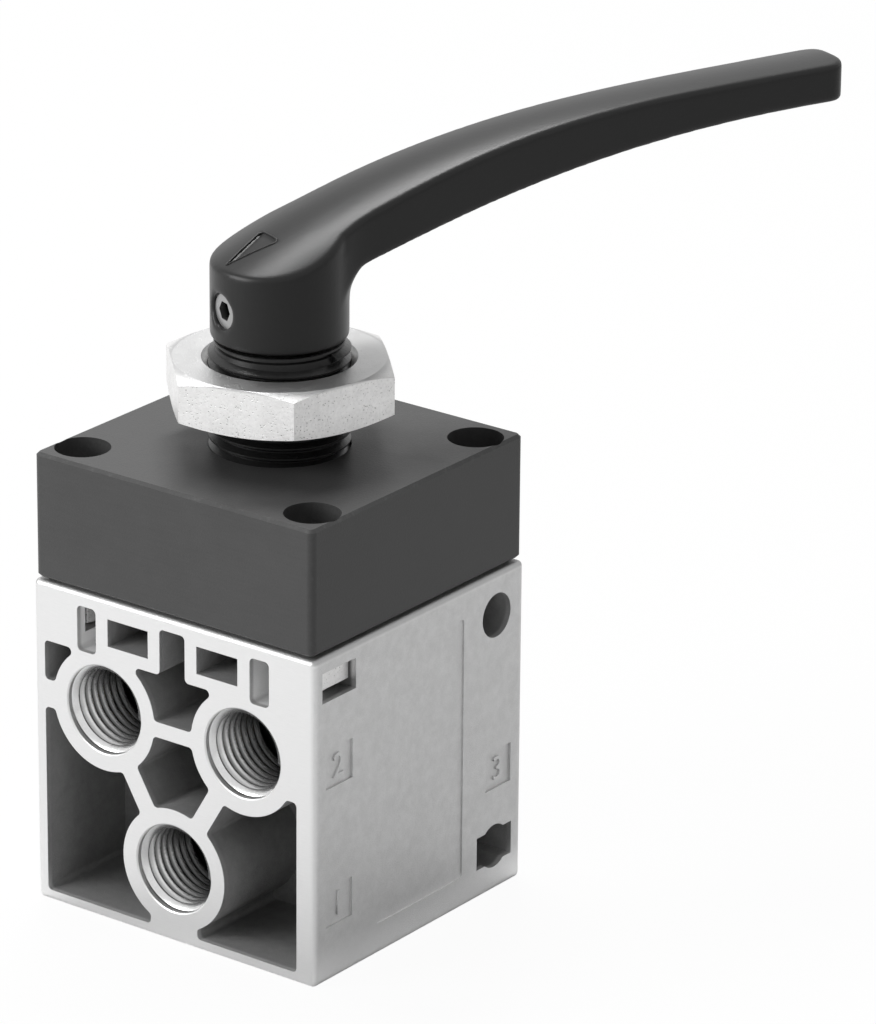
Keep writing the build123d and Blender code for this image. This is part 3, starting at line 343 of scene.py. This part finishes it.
def cast_aluminium():
    """Die-cast body: milled bright on the port faces, blasted elsewhere, with painted shade in the
    pockets and ports, painted light in the core slots and at the foot, and painted shade along the
    top edge.
    """
    high = body_high
    blasted_tones = grey(0.55), grey(0.64)
    milled_tones = grey(0.69), grey(0.77)
    painted_pocket_shade_tones = grey(0.36), grey(0.46)
    painted_pocket_depth_shade_tones = grey(0.20), grey(0.28)
    painted_port_shade_tones = grey(0.20), grey(0.04)
    painted_foot_light_tone, worn_tone, painted_top_edge_shade_tone, painted_slot_light_tone = grey(0.88), grey(0.76), grey(0.42), grey(0.88)
    metal_share = 0.85
    slots_end = -0.3 * high.y
    ports_end = 0.4 * high.y

    f = Finish("cast aluminium", Specular_IOR_Level=0.5)
    x, y, z = f.split(f.place)[:3]
    gap_x = f.math("SUBTRACT", high.x, f.math("ABSOLUTE", x))
    gap_y = f.math("SUBTRACT", high.y, f.math("ABSOLUTE", y))
    gap_z = f.math("MINIMUM", z, f.math("SUBTRACT", high.z, z))
    milled = f.inverse(f.step(gap_y, 0.05 * MM, 0.2 * MM))
    depth = f.math("MINIMUM", f.math("MINIMUM", gap_x, gap_y), gap_z)
    hollow = f.step(depth, 0.5 * MM, 1.1 * MM)
    blasted = f.effect(grain, Grain_Size=0.18 * MM, Patch_Size=1.6 * MM)
    marks = f.effect(tool_marks, Stretch=(500.0, 40.0, 9000.0))
    tone = f.step(blasted["Tone"], 0.3, 0.72)

    # outside: blasted walls, paler along the worn edges, with milled port faces, and painted light
    # making the foot paler
    outside = f.mix(tone, *blasted_tones)
    # painted light: the foot is made paler, lifting the lower walls
    foot = f.inverse(f.step(z, 0.5 * MM, 7 * MM))
    outside = f.mix(foot, outside, painted_foot_light_tone)
    worn = f.effect(edge_wear, Half_Width=high.x, Half_Depth=high.y, Low=0.0, High=high.z,
                    Reach=1.1 * MM, Breaks=0.1)
    skin = f.mix(milled, f.mix(worn["Mask"], outside, worn_tone),
                 f.mix(marks["Height"], *milled_tones))
    # painted shade along the top edge, dulling the lamp's highlight on its rounding
    top_edge = f.step(z, high.z - 0.9 * MM, high.z - 0.4 * MM)
    skin = f.mix(top_edge, skin, painted_top_edge_shade_tone)

    # inside: painted shade in the pockets that deepens further in, painted shade in the ports that
    # deepens with depth, and painted light in the two core slots
    shade = f.step(gap_y, 0.5 * MM, 10 * MM)
    inside = f.mix(shade, f.mix(tone, *painted_pocket_shade_tones), f.mix(tone, *painted_pocket_depth_shade_tones))
    # painted light inside the two core slots, where light comes in through the front
    from_slot = f.math("ABSOLUTE", f.math("SUBTRACT", f.math("ABSOLUTE", x), core_slot_offset))
    slot = f.math("MULTIPLY", f.math("LESS_THAN", from_slot, core_slot_half_width),
                  f.math("GREATER_THAN", z, core_slot_bottom))
    slot = f.math("MULTIPLY", slot, f.math("LESS_THAN", y, slots_end))
    inside = f.mix(slot, inside, painted_slot_light_tone)
    bores = 0.0
    for mount in port_mounts:
        from_axis = f.squared_reach(x, z, mount["pos_m"][::2])
        near = f.math("LESS_THAN", from_axis, (port_wall + 0.1 * MM) ** 2)
        within = f.math("GREATER_THAN", f.math("MULTIPLY", y, mount["axis"][1]), ports_end)
        bores = f.math("ADD", bores, f.math("MULTIPLY", near, within))
    # painted shade in the ports, darker further in
    inside = f.mix(bores, inside, f.mix(f.step(gap_y, 2 * MM, 8 * MM), *painted_port_shade_tones))

    metal = f.math("MAXIMUM", bores, f.inverse(f.math("MULTIPLY", hollow, 0.6)))
    rough = f.blend(milled, f.blend(tone, 0.5, 0.42), 0.34)
    height = f.blend(milled, blasted["Height"], f.math("MULTIPLY", marks["Height"], 0.25))
    return f.send(Base_Color=f.mix(hollow, skin, inside),
                  Roughness=f.blend(hollow, rough, 0.34),
                  Metallic=f.math("MULTIPLY", metal, metal_share),
                  Normal=f.bump(height, 0.06 * MM))


def threaded_aluminium():
    """Cut port thread: bright crests, with painted shade in the valleys and painted shade that
    deepens with the depth in the port.
    """
    crest_tones = grey(0.60), grey(0.78)
    painted_thread_depth_shade_tone, painted_valley_shade_tone = grey(0.22), grey(0.04)
    painted_valley_shade_share = 0.85

    f = Finish("cut aluminium thread", Metallic=1.0, Roughness=0.25)
    marks = f.effect(grain, Grain_Size=0.4 * MM, Patch_Size=3 * MM)
    x, y, z = f.split(f.place)[:3]
    depth = f.math("SUBTRACT", body_high.y, f.math("ABSOLUTE", y))
    from_axis = 1.0
    for mount in port_mounts:
        reach = f.math("SQRT", f.squared_reach(x, z, mount["pos_m"][::2]))
        from_axis = f.math("MINIMUM", from_axis, reach)
    colour = f.mix(marks["Tone"], *crest_tones)
    # painted shade that deepens with the depth in the port
    colour = f.mix(f.step(depth, 3 * MM, 10 * MM), colour, painted_thread_depth_shade_tone)
    # painted shade in the thread valleys, between the crests
    valley = f.math("MULTIPLY", f.step(from_axis, 5.85 * MM, 6.25 * MM),
                    f.step(depth, 0.8 * MM, 4.5 * MM))
    colour = f.mix(f.math("MULTIPLY", valley, painted_valley_shade_share), colour, painted_valley_shade_tone)
    return f.send(Base_Color=colour, Normal=f.bump(marks["Height"], 0.02 * MM))


def satin_black_block():
    """Head block: satin black finish, faintly mottled, with a few rubbed spots on its edges."""
    low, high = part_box("head_block")
    black_tones = grey(0.042), grey(0.056)
    rubbed_tone, rubbed_share = grey(0.22), 0.4

    f = Finish("satin black block", Metallic=0.0, Specular_IOR_Level=0.32)
    patches = f.effect(grain, Grain_Size=0.3 * MM, Patch_Size=9 * MM)
    streaks = f.effect(tool_marks, Stretch=(120.0, 120.0, 2600.0))
    tone = f.math("ADD", f.math("MULTIPLY", patches["Tone"], 0.75),
                  f.math("MULTIPLY", streaks["Height"], 0.25))
    worn = f.effect(edge_wear, Half_Width=high.x, Half_Depth=high.y, Low=low.z, High=high.z,
                    Reach=0.6 * MM, Breaks=0.62)
    colour = f.mix(f.math("MULTIPLY", worn["Mask"], rubbed_share),
                   f.mix(f.step(tone, 0.3, 0.75), *black_tones), rubbed_tone)
    return f.send(Base_Color=colour, Roughness=f.blend(f.step(tone, 0.35, 0.7), 0.4, 0.52),
                  Normal=f.bump(patches["Height"], 0.03 * MM))


def glossy_black_thread():
    """Oiled black finish of the turned neck, glossier in some patches."""
    black_tones = grey(0.012), grey(0.03)

    f = Finish("blackened steel", Metallic=0.6, Specular_IOR_Level=0.6)
    patches = f.effect(grain, Grain_Size=0.5 * MM, Patch_Size=4 * MM)
    return f.send(Base_Color=f.mix(patches["Tone"], *black_tones),
                  Roughness=f.blend(patches["Tone"], 0.2, 0.42),
                  Normal=f.bump(patches["Height"], 0.03 * MM))


def zinc_plate():
    """Zinc-plated steel: pale, with pits and small dark specks, and painted shade darkening the
    top of the nut.
    """
    nut_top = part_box("panel_nut")[1].z
    zinc_tones = grey(0.69, 0.005), grey(0.81, 0.005)
    pit_tone, pit_share, painted_nut_top_shade_tone = grey(0.2), 0.8, grey(0.5)

    f = Finish("zinc plate", Metallic=0.9)
    patches = f.effect(grain, Grain_Size=0.5 * MM, Patch_Size=5 * MM)
    pits = f.effect(specks, Spacing=0.4 * MM, Share=0.72)
    tone = f.step(patches["Tone"], 0.3, 0.7)
    colour = f.mix(f.math("MULTIPLY", pits["Mask"], pit_share), f.mix(tone, *zinc_tones), pit_tone)
    z = f.split(f.place)[2]
    # painted shade on the nut's top face, dulling the lamp's reflection there
    top = f.math("MULTIPLY", f.step(z, nut_top - 0.5 * MM, nut_top - 0.05 * MM),
                 f.math("LESS_THAN", z, nut_top + 1 * MM))
    height = f.math("SUBTRACT", f.math("MULTIPLY", patches["Height"], 0.6), pits["Mask"])
    return f.send(Base_Color=f.mix(top, colour, painted_nut_top_shade_tone),
                  Roughness=f.blend(tone, 0.46, 0.34), Normal=f.bump(height, 0.05 * MM))


def lacquered_lever():
    """Smooth satin black lacquer on the cast lever."""
    black_tones = grey(0.006), grey(0.010)

    f = Finish("satin black lacquer", Metallic=0.0, Specular_IOR_Level=0.3)
    patches = f.effect(grain, Grain_Size=0.6 * MM, Patch_Size=10 * MM)
    return f.send(Base_Color=f.mix(patches["Tone"], *black_tones),
                  Roughness=f.blend(patches["Tone"], 0.32, 0.37),
                  Normal=f.bump(patches["Height"], 0.01 * MM))


def socket_screw_steel():
    """Set screw: a turned end face, with painted shade inside its hexagon socket."""
    painted_socket_shade_tone, face_tone = grey(0.02), grey(0.34)

    f = Finish("set screw steel", Metallic=0.9, Roughness=0.35)
    x, y = f.split(f.place)[:2]
    out = f.math("SQRT", f.squared_reach(x, y))
    # painted shade on the screw below its end face, inside the socket
    face = f.step(out, set_screw_end - 1.4 * MM, set_screw_end - 0.1 * MM)
    return f.send(Base_Color=f.mix(face, painted_socket_shade_tone, face_tone))


def turned_metal(name, colour, paler, roughness):
    """Bare metal with fine turning marks round Z."""
    f = Finish(name, Metallic=1.0)
    marks = f.effect(tool_marks, Stretch=(300.0, 300.0, 9000.0))
    return f.send(Base_Color=f.mix(marks["Height"], colour, paler),
                  Roughness=f.blend(marks["Height"], roughness, roughness + 0.12),
                  Normal=f.bump(marks["Height"], 0.02 * MM))


def soft_solid(name, colour, paler, roughness):
    """Moulded rubber or plastic with a faint grain."""
    f = Finish(name, Metallic=0.0)
    patches = f.effect(grain, Grain_Size=0.3 * MM, Patch_Size=3 * MM)
    return f.send(Base_Color=f.mix(patches["Tone"], colour, paler),
                  Roughness=f.blend(patches["Tone"], roughness, roughness + 0.1),
                  Normal=f.bump(patches["Height"], 0.02 * MM))


brass_tones = (0.62, 0.46, 0.2, 1), (0.76, 0.6, 0.32, 1)
bronze_tones = (0.42, 0.27, 0.13, 1), (0.55, 0.38, 0.2, 1)
finishes = {
    "cast_aluminium": cast_aluminium(),
    "black_aluminium": satin_black_block(),
    "black_steel": glossy_black_thread(),
    "black_lever": lacquered_lever(),
    "plated_steel": zinc_plate(),
    "plain_steel": turned_metal("ground steel", grey(0.5), grey(0.66), 0.25),
    "brass": turned_metal("turned brass", *brass_tones, 0.25),
    "bronze": turned_metal("sintered bronze", *bronze_tones, 0.45),
    "nitrile_rubber": soft_solid("nitrile rubber", grey(0.012), grey(0.02), 0.6),
    "acetal": soft_solid("pale acetal", grey(0.7, 0.02), grey(0.8, 0.02), 0.4),
}
thread_finish = threaded_aluminium()
screw_finish = socket_screw_steel()

for part in frame["record"]["subparts"]:
    piece = nodes[part["node"]]
    finish = screw_finish if part["node"] == "lever_set_screw" else finishes[part["material_slot"]]
    if not piece.material_slots:
        piece.data.materials.append(finish)
    for slot in piece.material_slots:
        slot.material = finish

# ------------------------------------------------------------------ mesh helpers


def piece_from(name, mesh, finish):
    """New object at the origin that shows the mesh in one finish."""
    mesh.materials.clear()
    mesh.materials.append(finish)
    piece = bpy.data.objects.new(name, mesh)
    bpy.context.scene.collection.objects.link(piece)
    return piece


def carrier_of(data):
    """Passing object that turns a curve, a text or modifiers into a plain mesh."""
    carrier = bpy.data.objects.new("carrier", data)
    bpy.context.scene.collection.objects.link(carrier)
    return carrier


def baked(carrier):
    """Plain mesh of a carrier with its modifiers applied. The carrier is removed."""
    bpy.context.view_layer.update()
    graph = bpy.context.evaluated_depsgraph_get()
    mesh = bpy.data.meshes.new_from_object(carrier.evaluated_get(graph))
    bpy.data.objects.remove(carrier)
    return mesh


def smooth_all_over(mesh):
    mesh.polygons.foreach_set("use_smooth", [True] * len(mesh.polygons))


def lathe_mesh(name, outline, segments):
    """Closed outline of (radius, height) turned about Z. Radii are above zero."""
    bm = bmesh.new()
    rings = []
    for step in range(segments):
        turn = 2 * math.pi * step / segments
        rings.append([bm.verts.new((r * math.cos(turn), r * math.sin(turn), z))
                      for r, z in outline])
    for step in range(segments):
        here, there = rings[step], rings[(step + 1) % segments]
        for k in range(len(outline)):
            after = (k + 1) % len(outline)
            bm.faces.new((here[k], there[k], there[after], here[after]))
    bmesh.ops.recalc_face_normals(bm, faces=bm.faces)
    mesh = bpy.data.meshes.new(name)
    bm.to_mesh(mesh)
    bm.free()
    return mesh


def smooth_by_angle(mesh, degrees):
    """Smooth shading with sharp edges wherever two faces turn by more than the angle."""
    bm = bmesh.new()
    bm.from_mesh(mesh)
    for face in bm.faces:
        face.smooth = True
    for edge in bm.edges:
        edge.smooth = not (edge.is_manifold and edge.calc_face_angle(0.0) > math.radians(degrees))
    bm.to_mesh(mesh)
    bm.free()


# ------------------------------------------------------------------ screw threads


def thread_tree():
    """Geometry Nodes: a ridge wound round Z, of four-sided section, from height 0 upwards."""
    tree = bpy.data.node_groups.new("screw thread", "GeometryNodeTree")
    tree.interface.new_socket("Geometry", in_out="OUTPUT", socket_type="NodeSocketGeometry")
    for label, kind, value in (("Root Radius", "NodeSocketFloat", 0.0066),
                               ("Ridge Height", "NodeSocketFloat", -0.0009),
                               ("Root Width", "NodeSocketFloat", 0.0012),
                               ("Crest Width", "NodeSocketFloat", 0.0003),
                               ("Length", "NodeSocketFloat", 0.011),
                               ("Turns", "NodeSocketFloat", 8.0),
                               ("Steps", "NodeSocketInt", 500)):
        socket = tree.interface.new_socket(label, in_out="INPUT", socket_type=kind)
        socket.default_value = value
    tree.interface.new_socket("Finish", in_out="INPUT", socket_type="NodeSocketMaterial")
    make = Nodes(tree)
    entry = tree.nodes.new("NodeGroupInput").outputs
    winding = make.add("GeometryNodeCurveSpiral", Resolution=make.math(
        "DIVIDE", entry["Steps"], entry["Turns"]), Rotations=entry["Turns"],
        Start_Radius=entry["Root Radius"], End_Radius=entry["Root Radius"],
        Height=entry["Length"])
    upright = make.add("GeometryNodeSetCurveNormal", {"mode": "Z_UP"}, Curve=winding.outputs[0])
    corners = []
    for width, side, rise in (("Root Width", -0.5, 0.0), ("Crest Width", -0.5, 1.0),
                              ("Crest Width", 0.5, 1.0), ("Root Width", 0.5, 0.0)):
        corner = tree.nodes.new("ShaderNodeCombineXYZ")
        make.feed(corner.inputs[0], make.math("MULTIPLY", entry["Ridge Height"], -rise))
        make.feed(corner.inputs[1], make.math("MULTIPLY", entry[width], side))
        corners.append(corner.outputs[0])
    section = make.add("GeometryNodeCurvePrimitiveQuadrilateral", {"mode": "POINTS"})
    for k, corner in enumerate(corners):
        make.feed(section.inputs[f"Point {k + 1}"], corner)
    swept = make.add("GeometryNodeCurveToMesh", Curve=upright.outputs[0],
                     Profile_Curve=section.outputs[0], Fill_Caps=True)
    real = make.add("GeometryNodeRealizeInstances", Geometry=swept.outputs[0])
    coated = make.add("GeometryNodeSetMaterial", Geometry=real.outputs[0])
    make.feed(coated.inputs["Material"], entry["Finish"])
    leave = tree.nodes.new("NodeGroupOutput").inputs
    make.feed(leave["Geometry"], coated.outputs[0])
    return tree


screw_thread = thread_tree()


def grown(tree, finish, **sizes):
    """Plain mesh that a Geometry Nodes tree makes with these sizes."""
    carrier = carrier_of(bpy.data.meshes.new("carrier"))
    growth = carrier.modifiers.new("growth", "NODES")
    growth.node_group = tree
    named = {item.name: item.identifier for item in tree.interface.items_tree
             if item.item_type == "SOCKET" and item.in_out == "INPUT"}
    for label, value in sizes.items():
        growth[named[label.replace("_", " ")]] = value
    growth[named["Finish"]] = finish
    return baked(carrier)


def ridge_mesh(finish, root, height, root_width, crest_width, pitch, length, per_turn):
    """Thread ridge as one closed mesh. A height below zero points at the axis, as in a port."""
    turns = length / pitch
    mesh = grown(screw_thread, finish, Root_Radius=root, Ridge_Height=height,
                 Root_Width=root_width, Crest_Width=crest_width, Length=length,
                 Turns=turns, Steps=int(per_turn * turns))
    bm = bmesh.new()
    bm.from_mesh(mesh)
    bmesh.ops.remove_doubles(bm, verts=bm.verts, dist=1e-7)
    bmesh.ops.recalc_face_normals(bm, faces=bm.faces)
    bm.to_mesh(mesh)
    bm.free()
    smooth_by_angle(mesh, 60)
    return mesh


def port_thread(mount):
    """Ridge cut in one port, wound inwards from just behind the face."""
    mesh = ridge_mesh(thread_finish, port_wall + port_ridge_sink, -port_ridge_rise,
                      port_ridge_root, ridge_crest, port_pitch, port_thread_length,
                      port_ridge_steps)
    out = Vector(mount["axis"])
    mouth = Vector((mount["pos_m"][0], body_high.y * out.y, mount["pos_m"][2]))
    turn = Vector((0, 0, 1)).rotation_difference(-out).to_matrix().to_4x4()
    mesh.transform(Matrix.Translation(mouth - out * port_thread_start) @ turn)
    ridge = piece_from(mount["name"] + "_thread", mesh, thread_finish)
    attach(ridge, "valve")


for mount in port_mounts:
    port_thread(mount)


def threaded_neck():
    """Neck turned with its flange, thread undercut and collar, with an M20 ridge wound on it."""
    low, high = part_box("mounting_neck")
    flange_top = low.z + neck_flange_thickness
    groove = high.z - neck_groove_drop
    chamfer = neck_chamfer
    outline = [(neck_bore, low.z), (neck_flange_radius, low.z), (neck_flange_radius, flange_top),
               (neck_root, flange_top), (neck_root, groove),
               (neck_groove_radius, groove + 0.2 * MM), (neck_groove_radius, groove + 0.45 * MM),
               (neck_collar_radius, groove + 0.6 * MM), (neck_collar_radius, high.z - chamfer),
               (neck_collar_radius - chamfer, high.z), (neck_bore, high.z)]
    core = lathe_mesh("neck core", outline, 96)
    ridge = ridge_mesh(finishes["black_steel"], neck_root - neck_ridge_sink, neck_ridge_rise,
                       neck_ridge_root, ridge_crest, neck_pitch, neck_thread_length,
                       neck_ridge_steps)
    ridge.transform(Matrix.Translation((0, 0, flange_top + neck_thread_start)))
    bm = bmesh.new()
    bm.from_mesh(core)
    bm.from_mesh(ridge)
    mesh = bpy.data.meshes.new("threaded_neck")
    bm.to_mesh(mesh)
    bm.free()
    smooth_by_angle(mesh, 35)
    piece = piece_from("threaded_neck", mesh, finishes["black_steel"])
    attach(piece, "valve")
    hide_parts("mounting_neck")


threaded_neck()

# ------------------------------------------------------------------ lever

lever_heading = math.radians(69)
lever_along = Vector((math.cos(lever_heading), math.sin(lever_heading), 0))
lever_across = Vector((-math.sin(lever_heading), math.cos(lever_heading), 0))
lever_passes = ((0.14, 70), (0.3, 3))  # voxel in mm, smoothing steps

# the arrow on the hub, in mm along the lever and across it
arrow_tip = -8.7
arrow_base = -1.5
arrow_half_width = 2.4
arrow_depth = 0.3
arrow_slope = 0.3
arrow_rim = 0.16
arrow_rounding = (0.5, 0.9, 0.9)
arrow_lowest = 92 * MM
arrow_steepest = 0.35


def arrow_sink(along, across):
    """Depth in mm of the arrow pressed into the hub's top."""
    reach = np.clip((along - arrow_tip) / (arrow_base - arrow_tip), 0, 1)
    inside = np.minimum(arrow_half_width * reach - np.abs(across), arrow_base - along)
    return arrow_depth * np.clip(inside / arrow_slope, 0, 1)


def arrow_outline(lever_mesh):
    """Raised rim round the arrow: a thin closed bead laid on the lever's top."""
    surface = BVHTree.FromPolygons([v.co for v in lever_mesh.vertices],
                                   [p.vertices for p in lever_mesh.polygons])
    corners = [Vector((arrow_tip, 0)), Vector((arrow_base, arrow_half_width)),
               Vector((arrow_base, -arrow_half_width))]
    route = []
    for k, corner in enumerate(corners):
        before, after = corners[k - 1], corners[(k + 1) % 3]
        entering = corner + (before - corner).normalized() * arrow_rounding[k]
        leaving = corner + (after - corner).normalized() * arrow_rounding[k]
        for t in np.linspace(0, 1, 7):
            route.append(entering.lerp(corner, t).lerp(corner.lerp(leaving, t), t))
        far = after + (corner - after).normalized() * arrow_rounding[(k + 1) % 3]
        route += [leaving.lerp(far, t) for t in np.linspace(0, 1, 12)[1:-1]]
    bead = bpy.data.curves.new("arrow rim", "CURVE")
    bead.dimensions = "3D"
    bead.bevel_depth = arrow_rim * MM
    bead.bevel_resolution = 2
    line = bead.splines.new("POLY")
    line.points.add(len(route) - 1)
    line.use_cyclic_u = True
    well_above = Vector((0, 0, 0.2))
    for point, (along, across) in zip(line.points, route):
        above = (lever_along * along + lever_across * across) * MM + well_above
        hit = surface.ray_cast(above, Vector((0, 0, -1)))[0]
        point.co = (*hit, 1.0)
    mesh = baked(carrier_of(bead))
    smooth_all_over(mesh)
    piece = piece_from("arrow_rim", mesh, finishes["black_lever"])
    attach(piece, "lever")


def smooth_lever():
    """Cast lever: the solid's form with its edges run together, and the arrow pressed in."""
    source = nodes["hand_lever"]
    bm = bmesh.new()
    bm.from_mesh(source.data)
    bmesh.ops.remove_doubles(bm, verts=bm.verts, dist=1e-6)
    bm.transform(Matrix.Rotation(-lever_heading, 4, "Z"))
    start = bpy.data.meshes.new("lever form")
    bm.to_mesh(start)
    bm.free()
    carrier = carrier_of(start)
    for voxel, iterations in lever_passes:
        remesh = carrier.modifiers.new("even", "REMESH")
        remesh.mode = "VOXEL"
        remesh.voxel_size = voxel * MM
        relax = carrier.modifiers.new("relax", "SMOOTH")
        relax.factor = 0.5
        relax.iterations = iterations
    mesh = baked(carrier)
    mesh.transform(Matrix.Rotation(lever_heading, 4, "Z"))
    mesh.update()
    points = np.zeros((len(mesh.vertices), 3))
    normals = np.zeros_like(points)
    mesh.vertices.foreach_get("co", points.ravel())
    mesh.vertices.foreach_get("normal", normals.ravel())
    along = points @ np.array(lever_along) / MM
    across = points @ np.array(lever_across) / MM
    top = (normals[:, 2] > arrow_steepest) & (points[:, 2] > arrow_lowest)
    points[top, 2] -= arrow_sink(along[top], across[top]) * MM
    mesh.vertices.foreach_set("co", points.ravel())
    mesh.update()
    smooth_all_over(mesh)
    piece = piece_from("cast_lever", mesh, finishes["black_lever"])
    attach(piece, "lever")
    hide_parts("hand_lever")
    arrow_outline(mesh)


smooth_lever()

# ------------------------------------------------------------------ port numbers

number_size = 5.2 * MM
number_sink = 0.35 * MM  # depth of the box under the side face
number_rise = 0.26 * MM
number_edge = 18.4 * MM  # from the middle of the side face
number_rounding = 0.04 * MM


def raised_number(digit, side, along_y, height):
    """Cast number standing on the floor of its box. side is 1 for the right face, -1 left."""
    letter = bpy.data.curves.new("number " + digit, "FONT")
    letter.body = digit
    letter.size = number_size
    letter.align_x = "CENTER"
    letter.align_y = "CENTER"
    letter.extrude = number_rise / 2
    letter.bevel_depth = number_rounding
    letter.offset = -number_rounding
    mesh = baked(carrier_of(letter))
    co = np.array([v.co for v in mesh.vertices])
    centre = (co.min(0) + co.max(0)) / 2
    mesh.transform(Matrix.Translation((-centre[0], -centre[1], 0)))
    face_x = body_high.x * side
    stand = Matrix(((0, 0, side, face_x - side * (number_sink - number_rise / 2)),
                    (side, 0, 0, along_y), (0, 1, 0, height), (0, 0, 0, 1)))
    mesh.transform(stand)
    piece = piece_from(f"number_{digit}_{'right' if side > 0 else 'left'}", mesh,
                       finishes["cast_aluminium"])
    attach(piece, "valve")


for digit, side, along_y in (("2", 1, -number_edge), ("1", 1, -number_edge),
                             ("3", 1, number_edge), ("4", -1, -number_edge),
                             ("1", -1, -number_edge), ("5", -1, number_edge)):
    raised_number(digit, side, along_y, port_height["port_" + digit])

# ------------------------------------------------------------------ floor, light and sky

floor_reach = 3.0
floor_tone = grey(0.8)
floor_whiteness = 0.95  # share of plain white that the camera sees on the floor
room_light = 0.3
lamps_look_at = Vector((0, 0.01, 0.06))

# name, place, width, length, direction of the length, power
lamps = (("key", (-0.62, -0.95, 0.5), 0.7, 0.7, (0, 0, 1), 11.0),
         ("strip", (-0.36, 0.28, 1.05), 0.22, 0.8, (0.15, 0.9, -0.3), 9.5))


def pale_floor():
    """Wide floor that keeps the valve's shadow and looks almost white to the camera."""
    r = floor_reach
    floor_mesh = bpy.data.meshes.new("floor")
    floor_mesh.from_pydata([(-r, -r, 0), (r, -r, 0), (r, r, 0), (-r, r, 0)], [], [(0, 1, 2, 3)])
    pale = bpy.data.materials.new("pale floor")
    pale.use_nodes = True
    make = Nodes(pale.node_tree)
    base = pale.node_tree.nodes["Principled BSDF"]
    base.inputs["Base Color"].default_value = floor_tone
    base.inputs["Roughness"].default_value = 0.85
    base.inputs["Specular IOR Level"].default_value = 0.1
    glow = make.add("ShaderNodeEmission", Strength=1.0)
    path = make.add("ShaderNodeLightPath").outputs
    seen = make.math("MULTIPLY", path["Is Camera Ray"], floor_whiteness)
    both = make.add("ShaderNodeMixShader")
    make.feed(both.inputs[0], seen)
    make.feed(both.inputs[1], base.outputs[0])
    make.feed(both.inputs[2], glow.outputs[0])
    make.feed(pale.node_tree.nodes["Material Output"].inputs[0], both.outputs[0])
    floor = piece_from("floor", floor_mesh, pale)


def white_room():
    """White to the camera and in reflections, with a dimmer light on the valve."""
    world = bpy.data.worlds.new("studio")
    world.use_nodes = True
    bpy.context.scene.world = world
    make = Nodes(world.node_tree)
    path = make.add("ShaderNodeLightPath").outputs
    shown = make.math("MAXIMUM", path["Is Camera Ray"],
                      make.math("MAXIMUM", path["Is Glossy Ray"], path["Is Transmission Ray"]))
    sky = world.node_tree.nodes["Background"]
    sky.inputs["Color"].default_value = (1, 1, 1, 1)
    make.feed(sky.inputs["Strength"], make.blend(shown, room_light, 1.0))


def soft_lamp(name, place, width, length, lie, power):
    """Rectangular lamp that faces the valve, with its length along lie."""
    lamp = bpy.data.lights.new(name, "AREA")
    lamp.shape = "RECTANGLE"
    lamp.size = width
    lamp.size_y = length
    lamp.energy = power
    back = (Vector(place) - lamps_look_at).normalized()
    across = Vector(lie).cross(back).normalized()
    along = back.cross(across)
    holder = bpy.data.objects.new(name, lamp)
    turned = Matrix((across, along, back)).transposed().to_4x4()
    holder.matrix_world = Matrix.Translation(place) @ turned
    bpy.context.scene.collection.objects.link(holder)


pale_floor()
white_room()
for lamp in lamps:
    soft_lamp(*lamp)
